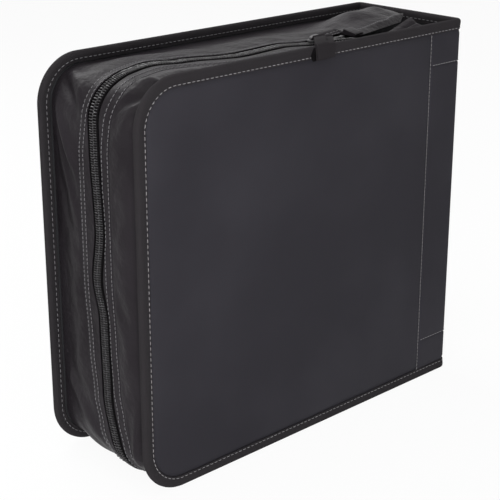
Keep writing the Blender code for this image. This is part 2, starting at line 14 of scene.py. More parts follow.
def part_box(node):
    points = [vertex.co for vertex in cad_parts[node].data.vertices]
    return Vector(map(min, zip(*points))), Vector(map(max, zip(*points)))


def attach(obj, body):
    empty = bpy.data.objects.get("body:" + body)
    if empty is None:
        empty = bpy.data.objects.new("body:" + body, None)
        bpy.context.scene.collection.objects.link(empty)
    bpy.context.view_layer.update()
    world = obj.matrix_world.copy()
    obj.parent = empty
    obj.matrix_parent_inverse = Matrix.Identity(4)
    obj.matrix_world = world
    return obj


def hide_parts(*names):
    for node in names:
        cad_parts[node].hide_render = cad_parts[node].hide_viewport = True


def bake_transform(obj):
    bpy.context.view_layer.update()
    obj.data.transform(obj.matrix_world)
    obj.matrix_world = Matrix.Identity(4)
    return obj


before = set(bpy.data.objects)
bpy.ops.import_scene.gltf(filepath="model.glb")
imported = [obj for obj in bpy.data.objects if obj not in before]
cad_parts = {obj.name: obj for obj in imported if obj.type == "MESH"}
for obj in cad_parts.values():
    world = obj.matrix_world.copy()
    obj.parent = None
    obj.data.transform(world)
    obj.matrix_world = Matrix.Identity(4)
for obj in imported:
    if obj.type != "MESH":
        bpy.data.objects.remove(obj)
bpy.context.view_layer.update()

# Overall sizes, from the solids
BINDING_LOW, BINDING_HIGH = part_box("front_binding")
PANEL_LOW, PANEL_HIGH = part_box("front_panel")
HALF_WIDTH = BINDING_HIGH.x
HEIGHT = BINDING_HIGH.z
HALF_THICKNESS = -BINDING_LOW.y
COVER = BINDING_HIGH.y - BINDING_LOW.y
INNER_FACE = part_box("spine_lining")[1].y
SKIN_DEPTH = PANEL_LOW.y + HALF_THICKNESS
SKIN = PANEL_HIGH.y - PANEL_LOW.y
SEAM_X = (PANEL_HIGH.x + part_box("front_hinge_strip")[0].x) / 2
CAP_LOW = (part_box("front_bottom_cap")[1].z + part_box("front_hinge_strip")[0].z) / 2
CAP_HIGH = HEIGHT - CAP_LOW

# Course of the gussets, as in the solids, and of the zip, which on the top follows the photo
FORE_RADIUS = 0.036
GUSSET_INSET = 0.007
EDGE_RISE = 0.0045
BOTTOM_RISE = 0.0025
TAPE_START_X = 0.071
TAPE_STOP_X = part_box("front_zip_tape")[1].x
SURFACE_Z = HEIGHT - GUSSET_INSET
FORE_CENTRE_X = FORE_RADIUS - HALF_WIDTH
TOP_RUN = TAPE_START_X - FORE_CENTRE_X
CORNER_RUN = (FORE_RADIUS - GUSSET_INSET) * math.pi / 2
EDGE_RUN = HEIGHT - 2 * FORE_RADIUS
CORNER_1 = TOP_RUN + CORNER_RUN
CORNER_2 = CORNER_1 + EDGE_RUN
BOTTOM_START = CORNER_2 + CORNER_RUN
BOTTOM_END = BOTTOM_START + TAPE_STOP_X - FORE_CENTRE_X
BOTTOM_END_LENGTH = 0.009
BACK_END_LENGTH = 0.089
BACK_END_TRIM = 0.019
FRONT_END_LENGTH = 0.075
FRONT_FOLD = 0.061
SPREAD = 0.007
SPREAD_LENGTH = 0.026
SLIT = 0.0014
COIL_WIDTH = 0.0034
COIL_LOW = -0.0008
COIL_HIGH = 0.0014
TAPE_TOP = -0.0011
TAPE_WIDTH = 0.0115
COIL_SHORT = 0.006
ZIP_COURSE = (
    (0.000, -0.0220), (0.042, -0.0220), (0.068, -0.0125), (0.112, -0.0160), (0.158, -0.0025),
    (0.180, 0.0045), (0.222, -0.0070), (0.270, -0.0070), (0.330, -0.0100), (0.368, -0.0050),
    (0.398, -0.0110), (0.455, -0.0120), (0.515, -0.0250), (0.560, -0.0230),
)

# Outer stitch line of each gusset's hem along the course
HEM_SEAMS = {
    1: (
        (-0.089, -0.0060), (-0.071, -0.0095), (-0.047, -0.0165), (-0.012, -0.0210),
        (0.002, -0.0170), (0.014, -0.0115), (0.034, -0.0105), (0.062, -0.0010), (0.105, -0.0033),
        (0.178, 0.0160), (0.222, 0.0055), (0.241, 0.0050), (0.280, 0.0107), (0.370, 0.0107),
        (0.424, 0.0075), (0.461, 0.0040), (0.483, -0.0010), (0.505, -0.0090), (0.540, -0.0120),
    ),
    -1: (
        (0.000, -0.0393), (0.040, -0.0393), (0.062, -0.0355), (0.125, -0.0360), (0.180, -0.0150),
        (0.222, -0.0255), (0.235, -0.0270), (0.275, -0.0215), (0.363, -0.0215), (0.413, -0.0240),
        (0.450, -0.0260), (0.471, -0.0300), (0.494, -0.0360), (0.540, -0.0405),
    ),
}
# From the outer to the inner stitch line of a hem
HEM_WIDTH = {1: 0.0052, -1: 0.0063}
SIDES = (("front", -1), ("back", 1))


def clamped(value, limit):
    return min(max(value, 0.0), limit)


def middle_of(node):
    low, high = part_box(node)
    return (low + high) / 2


def smooth(value):
    """0 below 0, 1 above 1, and an even slope change between."""
    value = clamped(value, 1.0)
    return value * value * (3.0 - 2.0 * value)


def bump(value):
    """1 at 0, falling evenly to 0 at -1 and 1."""
    return smooth(1.0 - abs(value))


def along_table(table, distance):
    """Value of a table of (distance, value) pairs, eased between its points."""
    if distance <= table[0][0]:
        return table[0][1]
    for (start, low), (end, high) in zip(table, table[1:]):
        if distance <= end:
            return low + (high - low) * smooth((distance - start) / (end - start))
    return table[-1][1]


def course(distance, start_x, inset, rise=0.0):
    """Place in the middle plane on a course round the three open sides, and the way out there.

    The course starts on the top at start_x and lies inset from the covers' rim.
    """
    radius = FORE_RADIUS - inset
    corner = radius * math.pi / 2
    past_top = distance - (start_x - FORE_CENTRE_X)
    past_edge = past_top - corner - EDGE_RUN
    turn = math.pi / 2 + (clamped(past_top, corner) + clamped(past_edge, corner)) / radius
    away = Vector((math.cos(turn), 0.0, math.sin(turn)))
    centre_x = FORE_CENTRE_X + max(-past_top, 0.0) + max(past_edge - corner, 0.0)
    centre_z = HEIGHT - FORE_RADIUS - clamped(past_top - corner, EDGE_RUN)
    return Vector((centre_x, 0.0, centre_z)) + away * (radius + rise), away


def outward(distance):
    """Direction away from the case on the gussets' course."""
    return course(distance, TAPE_START_X, GUSSET_INSET)[1]


def course_point(distance, y, rise):
    """Place on the gussets' course, standing out by the rise."""
    place, _ = course(distance, TAPE_START_X, GUSSET_INSET, rise)
    return Vector((place.x, y, place.z))


def zip_middle(distance):
    return along_table(ZIP_COURSE, distance)


def top_share(distance):
    """1 on the top run, 0 from the first corner on."""
    return 1.0 - smooth((distance - 0.170) / 0.030)


def zip_rise(distance):
    """How far the zip stands out from the gussets' seats at the covers."""
    first = smooth((distance - TOP_RUN) / CORNER_RUN)
    second = smooth((distance - CORNER_2) / CORNER_RUN)
    return EDGE_RISE * first + (BOTTOM_RISE - EDGE_RISE) * second


def coil_start(side, distance):
    """Y of a coil half's edge at the slit; the front half drifts off past the slider."""
    apart = SPREAD * smooth(1.0 - distance / SPREAD_LENGTH) if side < 0 else 0.0
    return zip_middle(distance) + side * (SLIT / 2 + apart)


# Materials

class Value:
    """A node's output, usable in sums and products."""

    def __init__(self, paint, socket):
        self.paint = paint
        self.socket = socket

    def maths(self, operation, *values):
        return self.paint.node("ShaderNodeMath", {"operation": operation}, dict(enumerate(values)))

    def __add__(self, other):
        return self.maths("ADD", self, other)

    def __sub__(self, other):
        return self.maths("SUBTRACT", self, other)

    def __rsub__(self, other):
        return self.maths("SUBTRACT", other, self)

    def __mul__(self, other):
        return self.maths("MULTIPLY", self, other)

    __radd__ = __add__
    __rmul__ = __mul__

    def sine(self):
        return self.maths("SINE", self)

    def within(self, low, high):
        """0 below low, 1 above high, eased between."""
        return self.paint.node(
            "ShaderNodeMapRange", {"interpolation_type": "SMOOTHSTEP"}, {0: self, 1: low, 2: high}
        )


class Paint:
    """A material or a world under construction; node() adds any node to it."""

    def __init__(self, name, world=None):
        self.material = world or bpy.data.materials.new(name)
        self.material.use_nodes = True
        self.tree = self.material.node_tree
        self.shader = self.tree.nodes["Background" if world else "Principled BSDF"]

    def node(self, kind, settings=None, values=None, output=0):
        made = self.tree.nodes.new(kind)
        for key, setting in (settings or {}).items():
            setattr(made, key, setting)
        self.fill(made, values or {})
        return Value(self, made.outputs[output])

    def fill(self, made, values):
        for key, value in values.items():
            if isinstance(value, Value):
                self.tree.links.new(value.socket, made.inputs[key])
            else:
                made.inputs[key].default_value = value

    def seen(self):
        """1 for camera, mirrored and transmitted rays, 0 for the rays that light things."""
        kinds = ("Is Camera Ray", "Is Glossy Ray", "Is Transmission Ray")
        camera, mirrored, passed = [self.node("ShaderNodeLightPath", None, None, kind) for kind in kinds]
        return 1.0 - (1.0 - camera) * (1.0 - mirrored) * (1.0 - passed)

    def show_mixed(self, output, share, glow):
        """End in the shader, mixed with a glow by a share."""
        shader = Value(self, self.shader.outputs[0])
        mixed = self.node("ShaderNodeMixShader", None, {0: share, 1: shader, 2: glow})
        self.fill(self.tree.nodes[output], {"Surface": mixed})

    def place(self):
        """Position on the object, in metres."""
        return self.node("ShaderNodeTexCoord", output=3)

    def lay(self, axis):
        """Distance along (0) or across (1) the cloth, in metres."""
        lay = self.node("ShaderNodeAttribute", {"attribute_name": "lay"}, output=1)
        return self.node("ShaderNodeSeparateXYZ", None, {0: lay}, axis)

    def noise(self, scale, detail=2.0, roughness=0.5, stretch=None):
        vector = self.place()
        if stretch:
            vector = self.node("ShaderNodeMapping", None, {"Vector": vector, "Scale": stretch})
        values = {"Vector": vector, "Scale": scale, "Detail": detail, "Roughness": roughness}
        return self.node("ShaderNodeTexNoise", None, values)

    def cells(self, scale):
        values = {"Vector": self.place(), "Scale": scale, "Smoothness": 0.6}
        return self.node("ShaderNodeTexVoronoi", {"feature": "SMOOTH_F1"}, values)

    def between(self, low, high, share):
        """A colour between two colours."""
        return self.node(
            "ShaderNodeMix", {"data_type": "RGBA"},
            {0: share, 6: (*low, 1.0), 7: (*high, 1.0)}, 2,
        )

    def weave(self, along, across):
        """Height of a plain weave with the two yarn pitches."""
        first = (self.lay(0) * (2 * math.pi / along)).sine()
        second = (self.lay(1) * (2 * math.pi / across)).sine()
        return first * second * 0.5 + 0.5

    def finish(self, colour, roughness, height=None, relief=0.0, **constants):
        values = {"Base Color": colour, "Roughness": roughness}
        if height is not None:
            values["Normal"] = self.node("ShaderNodeBump", None, {"Distance": relief, "Height": height})
        values.update({key.replace("_", " "): value for key, value in constants.items()})
        self.fill(self.shader, values)
        return self.material


def leatherette():
    """Coated cloth with a fine pebble grain, a little paler where it has been handled."""
    paint = Paint("leatherette")
    grain = paint.cells(1500.0)
    broad = paint.noise(9.0, 3.0)
    rubbed = broad.within(0.35, 0.75)
    colour = paint.between((0.0264, 0.0250, 0.0300), (0.0336, 0.0320, 0.0380), rubbed)
    height = grain * 0.7 + paint.noise(420.0, 2.0) * 0.5
    return paint.finish(colour, 0.52 + grain * 0.10 - rubbed * 0.05, height, 0.00009, Specular_IOR_Level=0.04)


def woven(name, dark, pale, pitch, relief, roughness, specular):
    """Plain woven tape or webbing, its yarns lying along and across the strip."""
    paint = Paint(name)
    yarn = paint.weave(pitch, pitch)
    dust = paint.noise(60.0, 4.0, 0.6)
    colour = paint.between(dark, pale, yarn * 0.55 + dust * 0.45)
    return paint.finish(colour, roughness + dust * 0.08, yarn, relief, Specular_IOR_Level=specular)


def nylon():
    """Thin satin nylon: a very fine weave with soft crumples that catch the light."""
    paint = Paint("nylon")
    yarn = paint.weave(0.0007, 0.0007)
    crumple = paint.noise(55.0, 3.0, 0.55)
    broad = paint.noise(14.0, 2.0)
    colour = paint.between((0.0135, 0.0114, 0.0134), (0.0210, 0.0182, 0.0212), broad.within(0.3, 0.7))
    height = crumple + yarn * 0.010
    return paint.finish(colour, 0.36 + crumple * 0.10, height, 0.0024, Specular_IOR_Level=0.065)


def lining_cloth():
    paint = Paint("lining")
    yarn = paint.weave(0.0009, 0.0009)
    fluff = paint.noise(300.0, 3.0)
    colour = paint.between((0.016, 0.016, 0.018), (0.027, 0.027, 0.029), fluff * 0.6 + yarn * 0.3)
    return paint.finish(colour, 0.85 + fluff * 0.1, fluff, 0.0002, Specular_IOR_Level=0.2)


def moulded(name, dark, pale, roughness, metallic=0.0):
    """Moulded plastic or plated metal with faint mottling and fine scratches."""
    paint = Paint(name)
    mottle = paint.noise(250.0, 4.0, 0.6)
    scratch = paint.noise(900.0, 2.0, 0.5, (1.0, 1.0, 0.08))
    colour = paint.between(dark, pale, mottle)
    return paint.finish(colour, roughness + scratch * 0.14, scratch, 0.00004, Metallic=metallic)


def thread(name, dark, pale):
    """Twisted sewing thread."""
    paint = Paint(name)
    ply = paint.noise(1800.0, 2.0)
    return paint.finish(paint.between(dark, pale, ply), 0.7 + ply * 0.1, ply, 0.0001, Specular_IOR_Level=0.3)


def pocket_film():
    """Clear soft film of the page pockets, slightly cloudy."""
    paint = Paint("page_film")
    cloud = paint.noise(25.0, 3.0)
    colour = paint.between((0.75, 0.76, 0.78), (0.85, 0.86, 0.88), cloud)
    return paint.finish(colour, 0.12 + cloud * 0.12, cloud, 0.0012, Alpha=0.22)


# Dark and pale colour, yarn pitch, relief, roughness, specular
WOVEN = {
    "binding": ((0.0180, 0.0160, 0.0178), (0.0328, 0.0298, 0.0325), 0.0011, 0.00035, 0.80, 0.10),
    "zip_tape": ((0.0042, 0.0038, 0.0042), (0.0090, 0.0082, 0.0090), 0.0010, 0.00030, 0.85, 0.03),
    "webbing": ((0.0135, 0.0118, 0.0132), (0.0275, 0.0245, 0.0270), 0.0015, 0.00045, 0.80, 0.10),
    "pages": ((0.030, 0.030, 0.033), (0.060, 0.060, 0.064), 0.0012, 0.00020, 0.75, 0.30),
}
# Dark and pale colour, roughness, metallic
MOULDED = {
    "zip_coil": ((0.019, 0.0175, 0.019), (0.038, 0.0355, 0.038), 0.27),
    "slider_metal": ((0.036, 0.034, 0.037), (0.060, 0.057, 0.061), 0.46, 0.1),
    "strip_plastic": ((0.014, 0.014, 0.016), (0.024, 0.024, 0.026), 0.38),
    "ring_steel": ((0.50, 0.50, 0.52), (0.66, 0.66, 0.68), 0.18, 1.0),
    "board": ((0.24, 0.21, 0.17), (0.33, 0.29, 0.24), 0.80),
}
# Dark and pale colour
THREADS = {
    "thread": ((0.150, 0.145, 0.150), (0.320, 0.312, 0.320)),
    "thread_faint": ((0.095, 0.092, 0.098), (0.190, 0.186, 0.194)),
}
MATERIALS = {
    "leatherette": leatherette(), "nylon": nylon(), "lining": lining_cloth(), "page_film": pocket_film(),
}
for recipe, looks in ((woven, WOVEN), (moulded, MOULDED), (thread, THREADS)):
    for name, values in looks.items():
        MATERIALS[name] = recipe(name, *values)

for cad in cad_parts.values():
    for place in cad.material_slots:
        place.material = MATERIALS[place.material.name.split(".")[0]]


# Objects and meshes

SHARP_ANGLE = math.radians(48)
# Along a stitch: share of its length, height and girth in half widths
STITCH_PROFILE = (
    (0.0, -0.9, 0.35), (0.14, 0.0, 0.85), (0.5, 0.35, 1.0), (0.86, 0.0, 0.85), (1.0, -0.9, 0.35),
)


def add_object(name, data):
    """A new object in the scene."""
    obj = bpy.data.objects.new(name, data)
    bpy.context.scene.collection.objects.link(obj)
    return obj


def own(name, mesh, finish, on, stands_for=()):
    """Make a mesh into a piece that rides on a body; one given a pair of bodies and ends is left in place,
    unattached.
    """
    mesh.name = name
    mesh.materials.clear()
    mesh.materials.append(MATERIALS[finish])
    mesh.shade_smooth()
    mesh.set_sharp_from_angle(angle=SHARP_ANGLE)
    obj = add_object(name, mesh)
    if isinstance(on, str):
        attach(obj, on)
    else:
        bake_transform(obj)
    if stands_for:
        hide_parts(*stands_for)


def closed_mesh(points, faces, lay=None):
    """A mesh whose faces all look outwards."""
    mesh = bpy.data.meshes.new("piece")
    mesh.from_pydata([tuple(point) for point in points], [], faces)
    if lay is not None:
        attribute = mesh.attributes.new("lay", "FLOAT_VECTOR", "POINT")
        attribute.data.foreach_set("vector", np.asarray(lay, np.float32).ravel())
    work = bmesh.new()
    work.from_mesh(mesh)
    bmesh.ops.recalc_face_normals(work, faces=work.faces)
    work.to_mesh(mesh)
    work.free()
    return mesh


def lengths_along(grid, axis):
    """Distance travelled along one axis of a grid of points."""
    steps = np.linalg.norm(np.diff(grid, axis=axis), axis=2)
    start = np.zeros_like(np.take(steps, [0], axis=axis))
    return np.cumsum(np.concatenate([start, steps], axis=axis), axis=axis)


def cloth_lay(grid):
    """Distances along and across a grid of points, which the weave follows."""
    across = lengths_along(grid, 1)
    along = np.broadcast_to(lengths_along(grid, 0).mean(axis=1, keepdims=True), across.shape)
    return np.stack([along, across, np.zeros(across.shape)], axis=2).reshape(-1, 3)


def sheet_mesh(rows, columns, place, thickness):
    """A closed sheet: place gives a point of its outer side and the way out there."""
    laid = np.array([
        [[*point, *away] for point, away in (place(row, column) for column in columns)] for row in rows
    ])
    grid, away = laid[..., :3], laid[..., 3:]
    normals = np.cross(np.gradient(grid, axis=0), np.gradient(grid, axis=1))
    normals /= np.linalg.norm(normals, axis=2, keepdims=True) + 1e-12
    normals[(normals * away).sum(axis=2) < 0] *= -1
    points = np.concatenate([grid.reshape(-1, 3), (grid - normals * thickness).reshape(-1, 3)])
    lay = cloth_lay(grid)
    number = np.arange(len(rows) * len(columns)).reshape(len(rows), len(columns))
    under = number.size
    corners = [number[:-1, :-1], number[:-1, 1:], number[1:, 1:], number[1:, :-1]]
    faces = np.stack(corners, axis=2).reshape(-1, 4)
    edge = np.concatenate([number[0, :-1], number[:-1, -1], number[-1, :0:-1], number[:0:-1, 0]])
    after = np.roll(edge, -1)
    walls = np.stack([edge, after, after + under, edge + under], axis=1)
    faces = np.concatenate([faces, faces[:, [0, 3, 2, 1]] + under, walls])
    return closed_mesh(points, faces.tolist(), np.concatenate([lay, lay]))


def band_faces(count, around, closed=False):
    """Faces between rings of points, capped at both ends unless the last ring meets the first."""
    number = np.arange(count * around).reshape(count, around)
    beside = np.roll(number, -1, axis=1)
    faces = np.stack([number, beside, np.roll(beside, -1, axis=0), np.roll(number, -1, axis=0)], axis=2)
    if closed:
        return faces.reshape(-1, 4).tolist()
    return faces[:-1].reshape(-1, 4).tolist() + [number[0].tolist(), number[-1].tolist()]


def swept_mesh(rows):
    """A closed body: each row is a closed outline, and the first and last are capped."""
    grid = np.asarray(rows, float)
    return closed_mesh(grid.reshape(-1, 3), band_faces(*grid.shape[:2]), cloth_lay(grid))


def tube_mesh(path, radius, sides=8, closed=False):
    """A round wire along a path of points; the radius may be a list."""
    points = np.asarray([tuple(point) for point in path], float)
    count = len(points)
    radii = radius if hasattr(radius, "__len__") else [radius] * count
    angles = np.arange(sides) * 2 * math.pi / sides
    normal = None
    rings = []
    for index in range(count):
        before = points[index - 1] if closed or index else points[0]
        after = points[(index + 1) % count] if closed or index + 1 < count else points[-1]
        ahead = after - before
        ahead /= np.linalg.norm(ahead)
        if normal is None:
            normal = np.cross(ahead, (0.3, 0.5, 0.8))
        normal = normal - ahead * normal.dot(ahead)
        normal /= np.linalg.norm(normal)
        other = np.cross(ahead, normal)
        circle_round = np.outer(np.cos(angles), normal) + np.outer(np.sin(angles), other)
        rings.append(points[index] + radii[index] * circle_round)
    return closed_mesh(np.concatenate(rings), band_faces(count, sides, closed))


def stitches_mesh(place, start, end, sewing, sides=5):
    """A row of stitches: place gives a point and the way up, sewing the pitch, length and width."""
    pitch, dash, width = sewing
    count = max(1, int((end - start) / pitch))
    pitch = (end - start) / count
    points, faces = [], []
    for number in range(count):
        first = start + pitch * number + (pitch - dash) / 2
        _, up = place(first + dash / 2)
        ahead = (place(first + dash)[0] - place(first)[0]).normalized()
        across = ahead.cross(up).normalized()
        base = len(points)
        for share, lift, girth in STITCH_PROFILE:
            centre, up = place(first + dash * share)
            for step in range(sides):
                angle = 2 * math.pi * step / sides
                off = across * (math.cos(angle) * girth) + up * (math.sin(angle) * girth * 0.8 + lift)
                points.append(centre + off * (width / 2))
        faces += [[corner + base for corner in face] for face in band_faces(len(STITCH_PROFILE), sides)]
    return closed_mesh(points, faces)


def joined(meshes):
    """Several meshes as one."""
    work = bmesh.new()
    for mesh in meshes:
        work.from_mesh(mesh)
        bpy.data.meshes.remove(mesh)
    made = bpy.data.meshes.new("joined")
    work.to_mesh(made)
    work.free()
    return made


def flat_plate(outlines, thickness, turn):
    """A flat plate with holes: the first outline is its edge, the others are cut out."""
    curve = bpy.data.curves.new("outline", "CURVE")
    curve.dimensions = "2D"
    curve.fill_mode = "BOTH"
    curve.extrude = thickness / 2
    for outline in outlines:
        spline = curve.splines.new("POLY")
        spline.points.add(len(outline) - 1)
        for point, (a, b) in zip(spline.points, outline):
            point.co = (a, b, 0.0, 1.0)
        spline.use_cyclic_u = True
    helper = add_object("outline", curve)
    graph = bpy.context.evaluated_depsgraph_get()
    mesh = bpy.data.meshes.new_from_object(helper.evaluated_get(graph))
    bpy.data.objects.remove(helper)
    bpy.data.curves.remove(curve)
    work = bmesh.new()
    work.from_mesh(mesh)
    bmesh.ops.remove_doubles(work, verts=work.verts, dist=0.000002)
    bmesh.ops.transform(work, matrix=turn, verts=work.verts)
    bmesh.ops.recalc_face_normals(work, faces=work.faces)
    work.to_mesh(mesh)
    work.free()
    return mesh


def arc(x, z, radius, first, last, steps):
    """Points on a circle from one angle to another."""
    turns = [first + (last - first) * step / steps for step in range(steps + 1)]
    return [(x + radius * math.cos(turn), z + radius * math.sin(turn)) for turn in turns]


def circle(x, z, radius, steps=16):
    return arc(x, z, radius, 0.0, 2 * math.pi, steps)[:-1]


def upright(y):
    """Turns an outline in X and Z to the plane at y."""
    return Matrix.Translation((0.0, y, 0.0)) @ Matrix.Rotation(math.pi / 2, 4, "X")


def evenly(start, end, step):
    """Numbers from start to end about a step apart."""
    count = max(1, round((end - start) / step))
    return [start + (end - start) * number / count for number in range(count + 1)]


# Covers

STITCH_INSET = 0.0074
INNER_STITCH_INSET = 0.0056
TAPE_EDGE = 0.0088
TAPE_CLOTH = 0.0006
LINING = 0.0004
# Half the width of the groove along a seam
GROOVE = 0.0012
# Pitch, length and width of the stitches
TAPE_THREAD = (0.0042, 0.0027, 0.00062)
SEAM_THREAD = (0.0032, 0.0027, 0.00058)
HEM_THREAD = (0.0032, 0.0024, 0.00070)
# The folded tape's stitch rows: face, inset, depth, way they look, thread
TAPE_ROWS = (
    ("outer", STITCH_INSET, 0.0003, 1.0, "thread"),
    ("inner", INNER_STITCH_INSET, COVER + 0.0001, -1.0, "thread_faint"),
)
HINGE_X = 0.1560
LINING_END_X = 0.1580
CORNER_RADIUS = 0.0057
STRIP_RUN = HALF_WIDTH - CORNER_RADIUS - SEAM_X
HINGE_ARC = CORNER_RADIUS * math.pi / 2
SPINE_SIDE = HALF_THICKNESS - CORNER_RADIUS
WRAP_LENGTH = STRIP_RUN + HINGE_ARC + SPINE_SIDE
HINGE_BEND = {
    word: (f"{word}_cover", "spine", (0.1620, side * 0.0575, 0.155), (0.1715, side * 0.0480, 0.155))
    for word, side in SIDES
}


def edge_length(inset):
    """Length of the course on a cover's edge, from the spine's top end to its bottom end."""
    return 2 * (HALF_WIDTH - FORE_CENTRE_X) + EDGE_RUN + math.pi * (FORE_RADIUS - inset)


def fold_section(share):
    """Closed outline of the folded tape, as (inset, depth) pairs, pulled in at the stitches."""
    half = COVER / 2
    pull = 0.00022 * share
    flap = (
        (TAPE_EDGE, 0.00085), (TAPE_EDGE - 0.0003, 0.00055), (TAPE_EDGE - 0.0008, 0.00050),
        (STITCH_INSET, 0.00060 + pull), (STITCH_INSET - 0.0014, 0.00030), (half + 0.0014, 0.00008),
    )
    outer = list(flap) + [(half, 0.0)]
    for step in range(1, 8):
        turn = math.pi * step / 8
        outer.append((half - half * math.sin(turn) ** 0.9, half - half * math.cos(turn)))
    outer.append((half, COVER))
    outer += [(inset, COVER - depth) for inset, depth in reversed(flap)]
    inner = arc(half, half, half - TAPE_CLOTH, math.pi / 2, 1.5 * math.pi, 4)
    return outer + [(TAPE_EDGE, COVER - TAPE_CLOTH - 0.0008)] + inner + [(TAPE_EDGE, TAPE_CLOTH + 0.0008)]


def build_cover_binding(word, side):
    """Woven tape folded over a cover's edge, from the hinge round the fore edge."""
    start = HALF_WIDTH - HINGE_X
    rows = []
    for number, distance in enumerate(evenly(start, edge_length(0.0) - start, TAPE_THREAD[0] / 2)):
        rim, away = course(distance, HALF_WIDTH, 0.0)
        sway = 0.00012 * math.sin(distance * 71.0) + 0.00008 * math.sin(distance * 173.0 + 1.0)
        row = []
        for inset, depth in fold_section(number % 2):
            shift = inset + (sway if inset > COVER else 0.0)
            row.append((rim.x - away.x * shift, side * (HALF_THICKNESS - depth), rim.z - away.z * shift))
        rows.append(row)
    own(f"{word}_binding_tape", swept_mesh(rows), "binding", f"{word}_cover", [f"{word}_binding"])
    for face, inset, depth, looks, finish in TAPE_ROWS:
        def place(distance):
            point, _ = course(distance, HALF_WIDTH, inset)
            point.y = side * (HALF_THICKNESS - depth)
            return point, Vector((0.0, side * looks, 0.0))

        row = stitches_mesh(place, start, edge_length(inset) - start, TAPE_THREAD)
        own(f"{word}_{face}_binding_stitches", row, finish, f"{word}_cover")


def hinge_place(side, distance, depth, z):
    """Place on the wrap round one hinge, from the cover's seam to the spine's middle, and the way out."""
    turn = clamped(distance - STRIP_RUN, HINGE_ARC) / CORNER_RADIUS
    away = Vector((math.sin(turn), side * math.cos(turn), 0.0))
    on_spine = max(distance - STRIP_RUN - HINGE_ARC, 0.0)
    centre = Vector((SEAM_X + min(distance, STRIP_RUN), side * (SPINE_SIDE - on_spine), z))
    return centre + away * (CORNER_RADIUS - depth), away


def wrap_stations(start, end):
    """Distances along the wrap, close together round the hinge."""
    arc_end = STRIP_RUN + HINGE_ARC
    marks = evenly(start, STRIP_RUN - 0.004, 0.004) if start < STRIP_RUN - 0.006 else [start]
    marks += evenly(STRIP_RUN - 0.003, arc_end + 0.003, 0.0009)
    return marks + evenly(arc_end + 0.0045, end, 0.004)


def wrap_depth(distance, z):
    """Depth of the leatherette below the tape's face, with grooves at its seams and the tape."""
    depth = SKIN_DEPTH - 0.00025 + 0.0007 * bump(distance / GROOVE)
    for seam in (CAP_LOW, CAP_HIGH):
        depth += 0.00055 * bump((z - seam) / GROOVE)
    rim_gap = min(z, HEIGHT - z) - TAPE_EDGE
    return depth + 0.0008 * smooth(1.0 - rim_gap / 0.003)


def build_hinge_wrap(word, side):
    """Leatherette and lining round one hinge, to the middle of the spine."""
    heights = sorted(
        evenly(0.004, HEIGHT - 0.004, 0.008)
        + [seam + GROOVE * part for seam in (CAP_LOW, CAP_HIGH) for part in (-1.0, -0.5, 0.0, 0.5, 1.0)]
        + [TAPE_EDGE, HEIGHT - TAPE_EDGE, TAPE_EDGE + 0.0015, HEIGHT - TAPE_EDGE - 0.0015]
    )

    def outer(distance, z):
        return hinge_place(side, distance, wrap_depth(distance, z), z)

    def inner(distance, z):
        point, away = hinge_place(side, distance, COVER - LINING, z)
        return point, -away

    stands = [f"{word}_hinge_strip", f"{word}_top_cap", f"{word}_bottom_cap"]
    if side > 0:
        stands += ["spine_panel", "spine_top_cap", "spine_bottom_cap", "spine_board"]
    stations = [0.0, 0.0004, 0.0008, 0.0014] + wrap_stations(0.004, WRAP_LENGTH)
    wrap = sheet_mesh(stations, heights, outer, SKIN)
    own(f"{word}_hinge_wrap", wrap, "leatherette", HINGE_BEND[word], stands)
    stations = wrap_stations(HINGE_X - SEAM_X - 0.012, WRAP_LENGTH - 0.030)
    lining = sheet_mesh(stations, evenly(0.006, HEIGHT - 0.006, 0.03), inner, LINING)
    own(f"{word}_hinge_lining", lining, "lining", HINGE_BEND[word])


def build_hinge_tapes(word, side):
    """Folded tape on the top and bottom edges round one hinge, with its stitches."""
    start = HINGE_X - SEAM_X
    deepest = CORNER_RADIUS - 0.0002
    sewn = {"thread": [], "thread_faint": []}
    for level, rim_z, down in (("top", HEIGHT, -1.0), ("bottom", 0.0, 1.0)):
        rows = [
            [
                hinge_place(side, distance, min(depth, deepest), rim_z + down * inset)[0]
                for inset, depth in fold_section(number % 2)
            ]
            for number, distance in enumerate(wrap_stations(start, WRAP_LENGTH))
        ]
        stands = [f"spine_{level}_binding"] if side > 0 else []
        own(f"{word}_{level}_hinge_tape", swept_mesh(rows), "binding", HINGE_BEND[word], stands)
        for _, inset, depth, looks, finish in TAPE_ROWS:
            def place(distance):
                point, away = hinge_place(side, distance, min(depth, deepest), rim_z + down * inset)
                return point, away * looks

            sewn[finish].append(stitches_mesh(place, start, WRAP_LENGTH, TAPE_THREAD))
    own(f"{word}_hinge_tape_stitches", joined(sewn["thread"]), "thread", HINGE_BEND[word])
    own(f"{word}_hinge_inner_stitches", joined(sewn["thread_faint"]), "thread_faint", HINGE_BEND[word])


def build_hinge_seams(word, side):
    """Stitches across at the two caps and up the seam between panel and hinge strip."""
    rows = []
    for seam in (CAP_LOW, CAP_HIGH):
        def place(distance):
            return hinge_place(side, distance, SKIN_DEPTH - 0.0003, seam + 0.0011)

        rows.append(stitches_mesh(place, 0.0015, WRAP_LENGTH, SEAM_THREAD))
    own(f"{word}_cap_stitches", joined(rows), "thread", HINGE_BEND[word])

    def place(z):
        face_y = side * (HALF_THICKNESS - SKIN_DEPTH + 0.0002)
        return Vector((SEAM_X - 0.0012, face_y, z)), Vector((0.0, side, 0.0))

    row = stitches_mesh(place, TAPE_EDGE, HEIGHT - TAPE_EDGE, SEAM_THREAD)
    own(f"{word}_panel_stitches", row, "thread", f"{word}_cover")


def cover_outline(inset, right):
    """A cover's outline in X and Z, round at the fore corners and square at the seam."""
    radius = FORE_RADIUS - inset
    high = arc(FORE_CENTRE_X, HEIGHT - FORE_RADIUS, radius, math.pi / 2, math.pi, 12)
    low = arc(FORE_CENTRE_X, FORE_RADIUS, radius, math.pi, 1.5 * math.pi, 12)
    return [(right, inset), (right, HEIGHT - inset)] + high + low


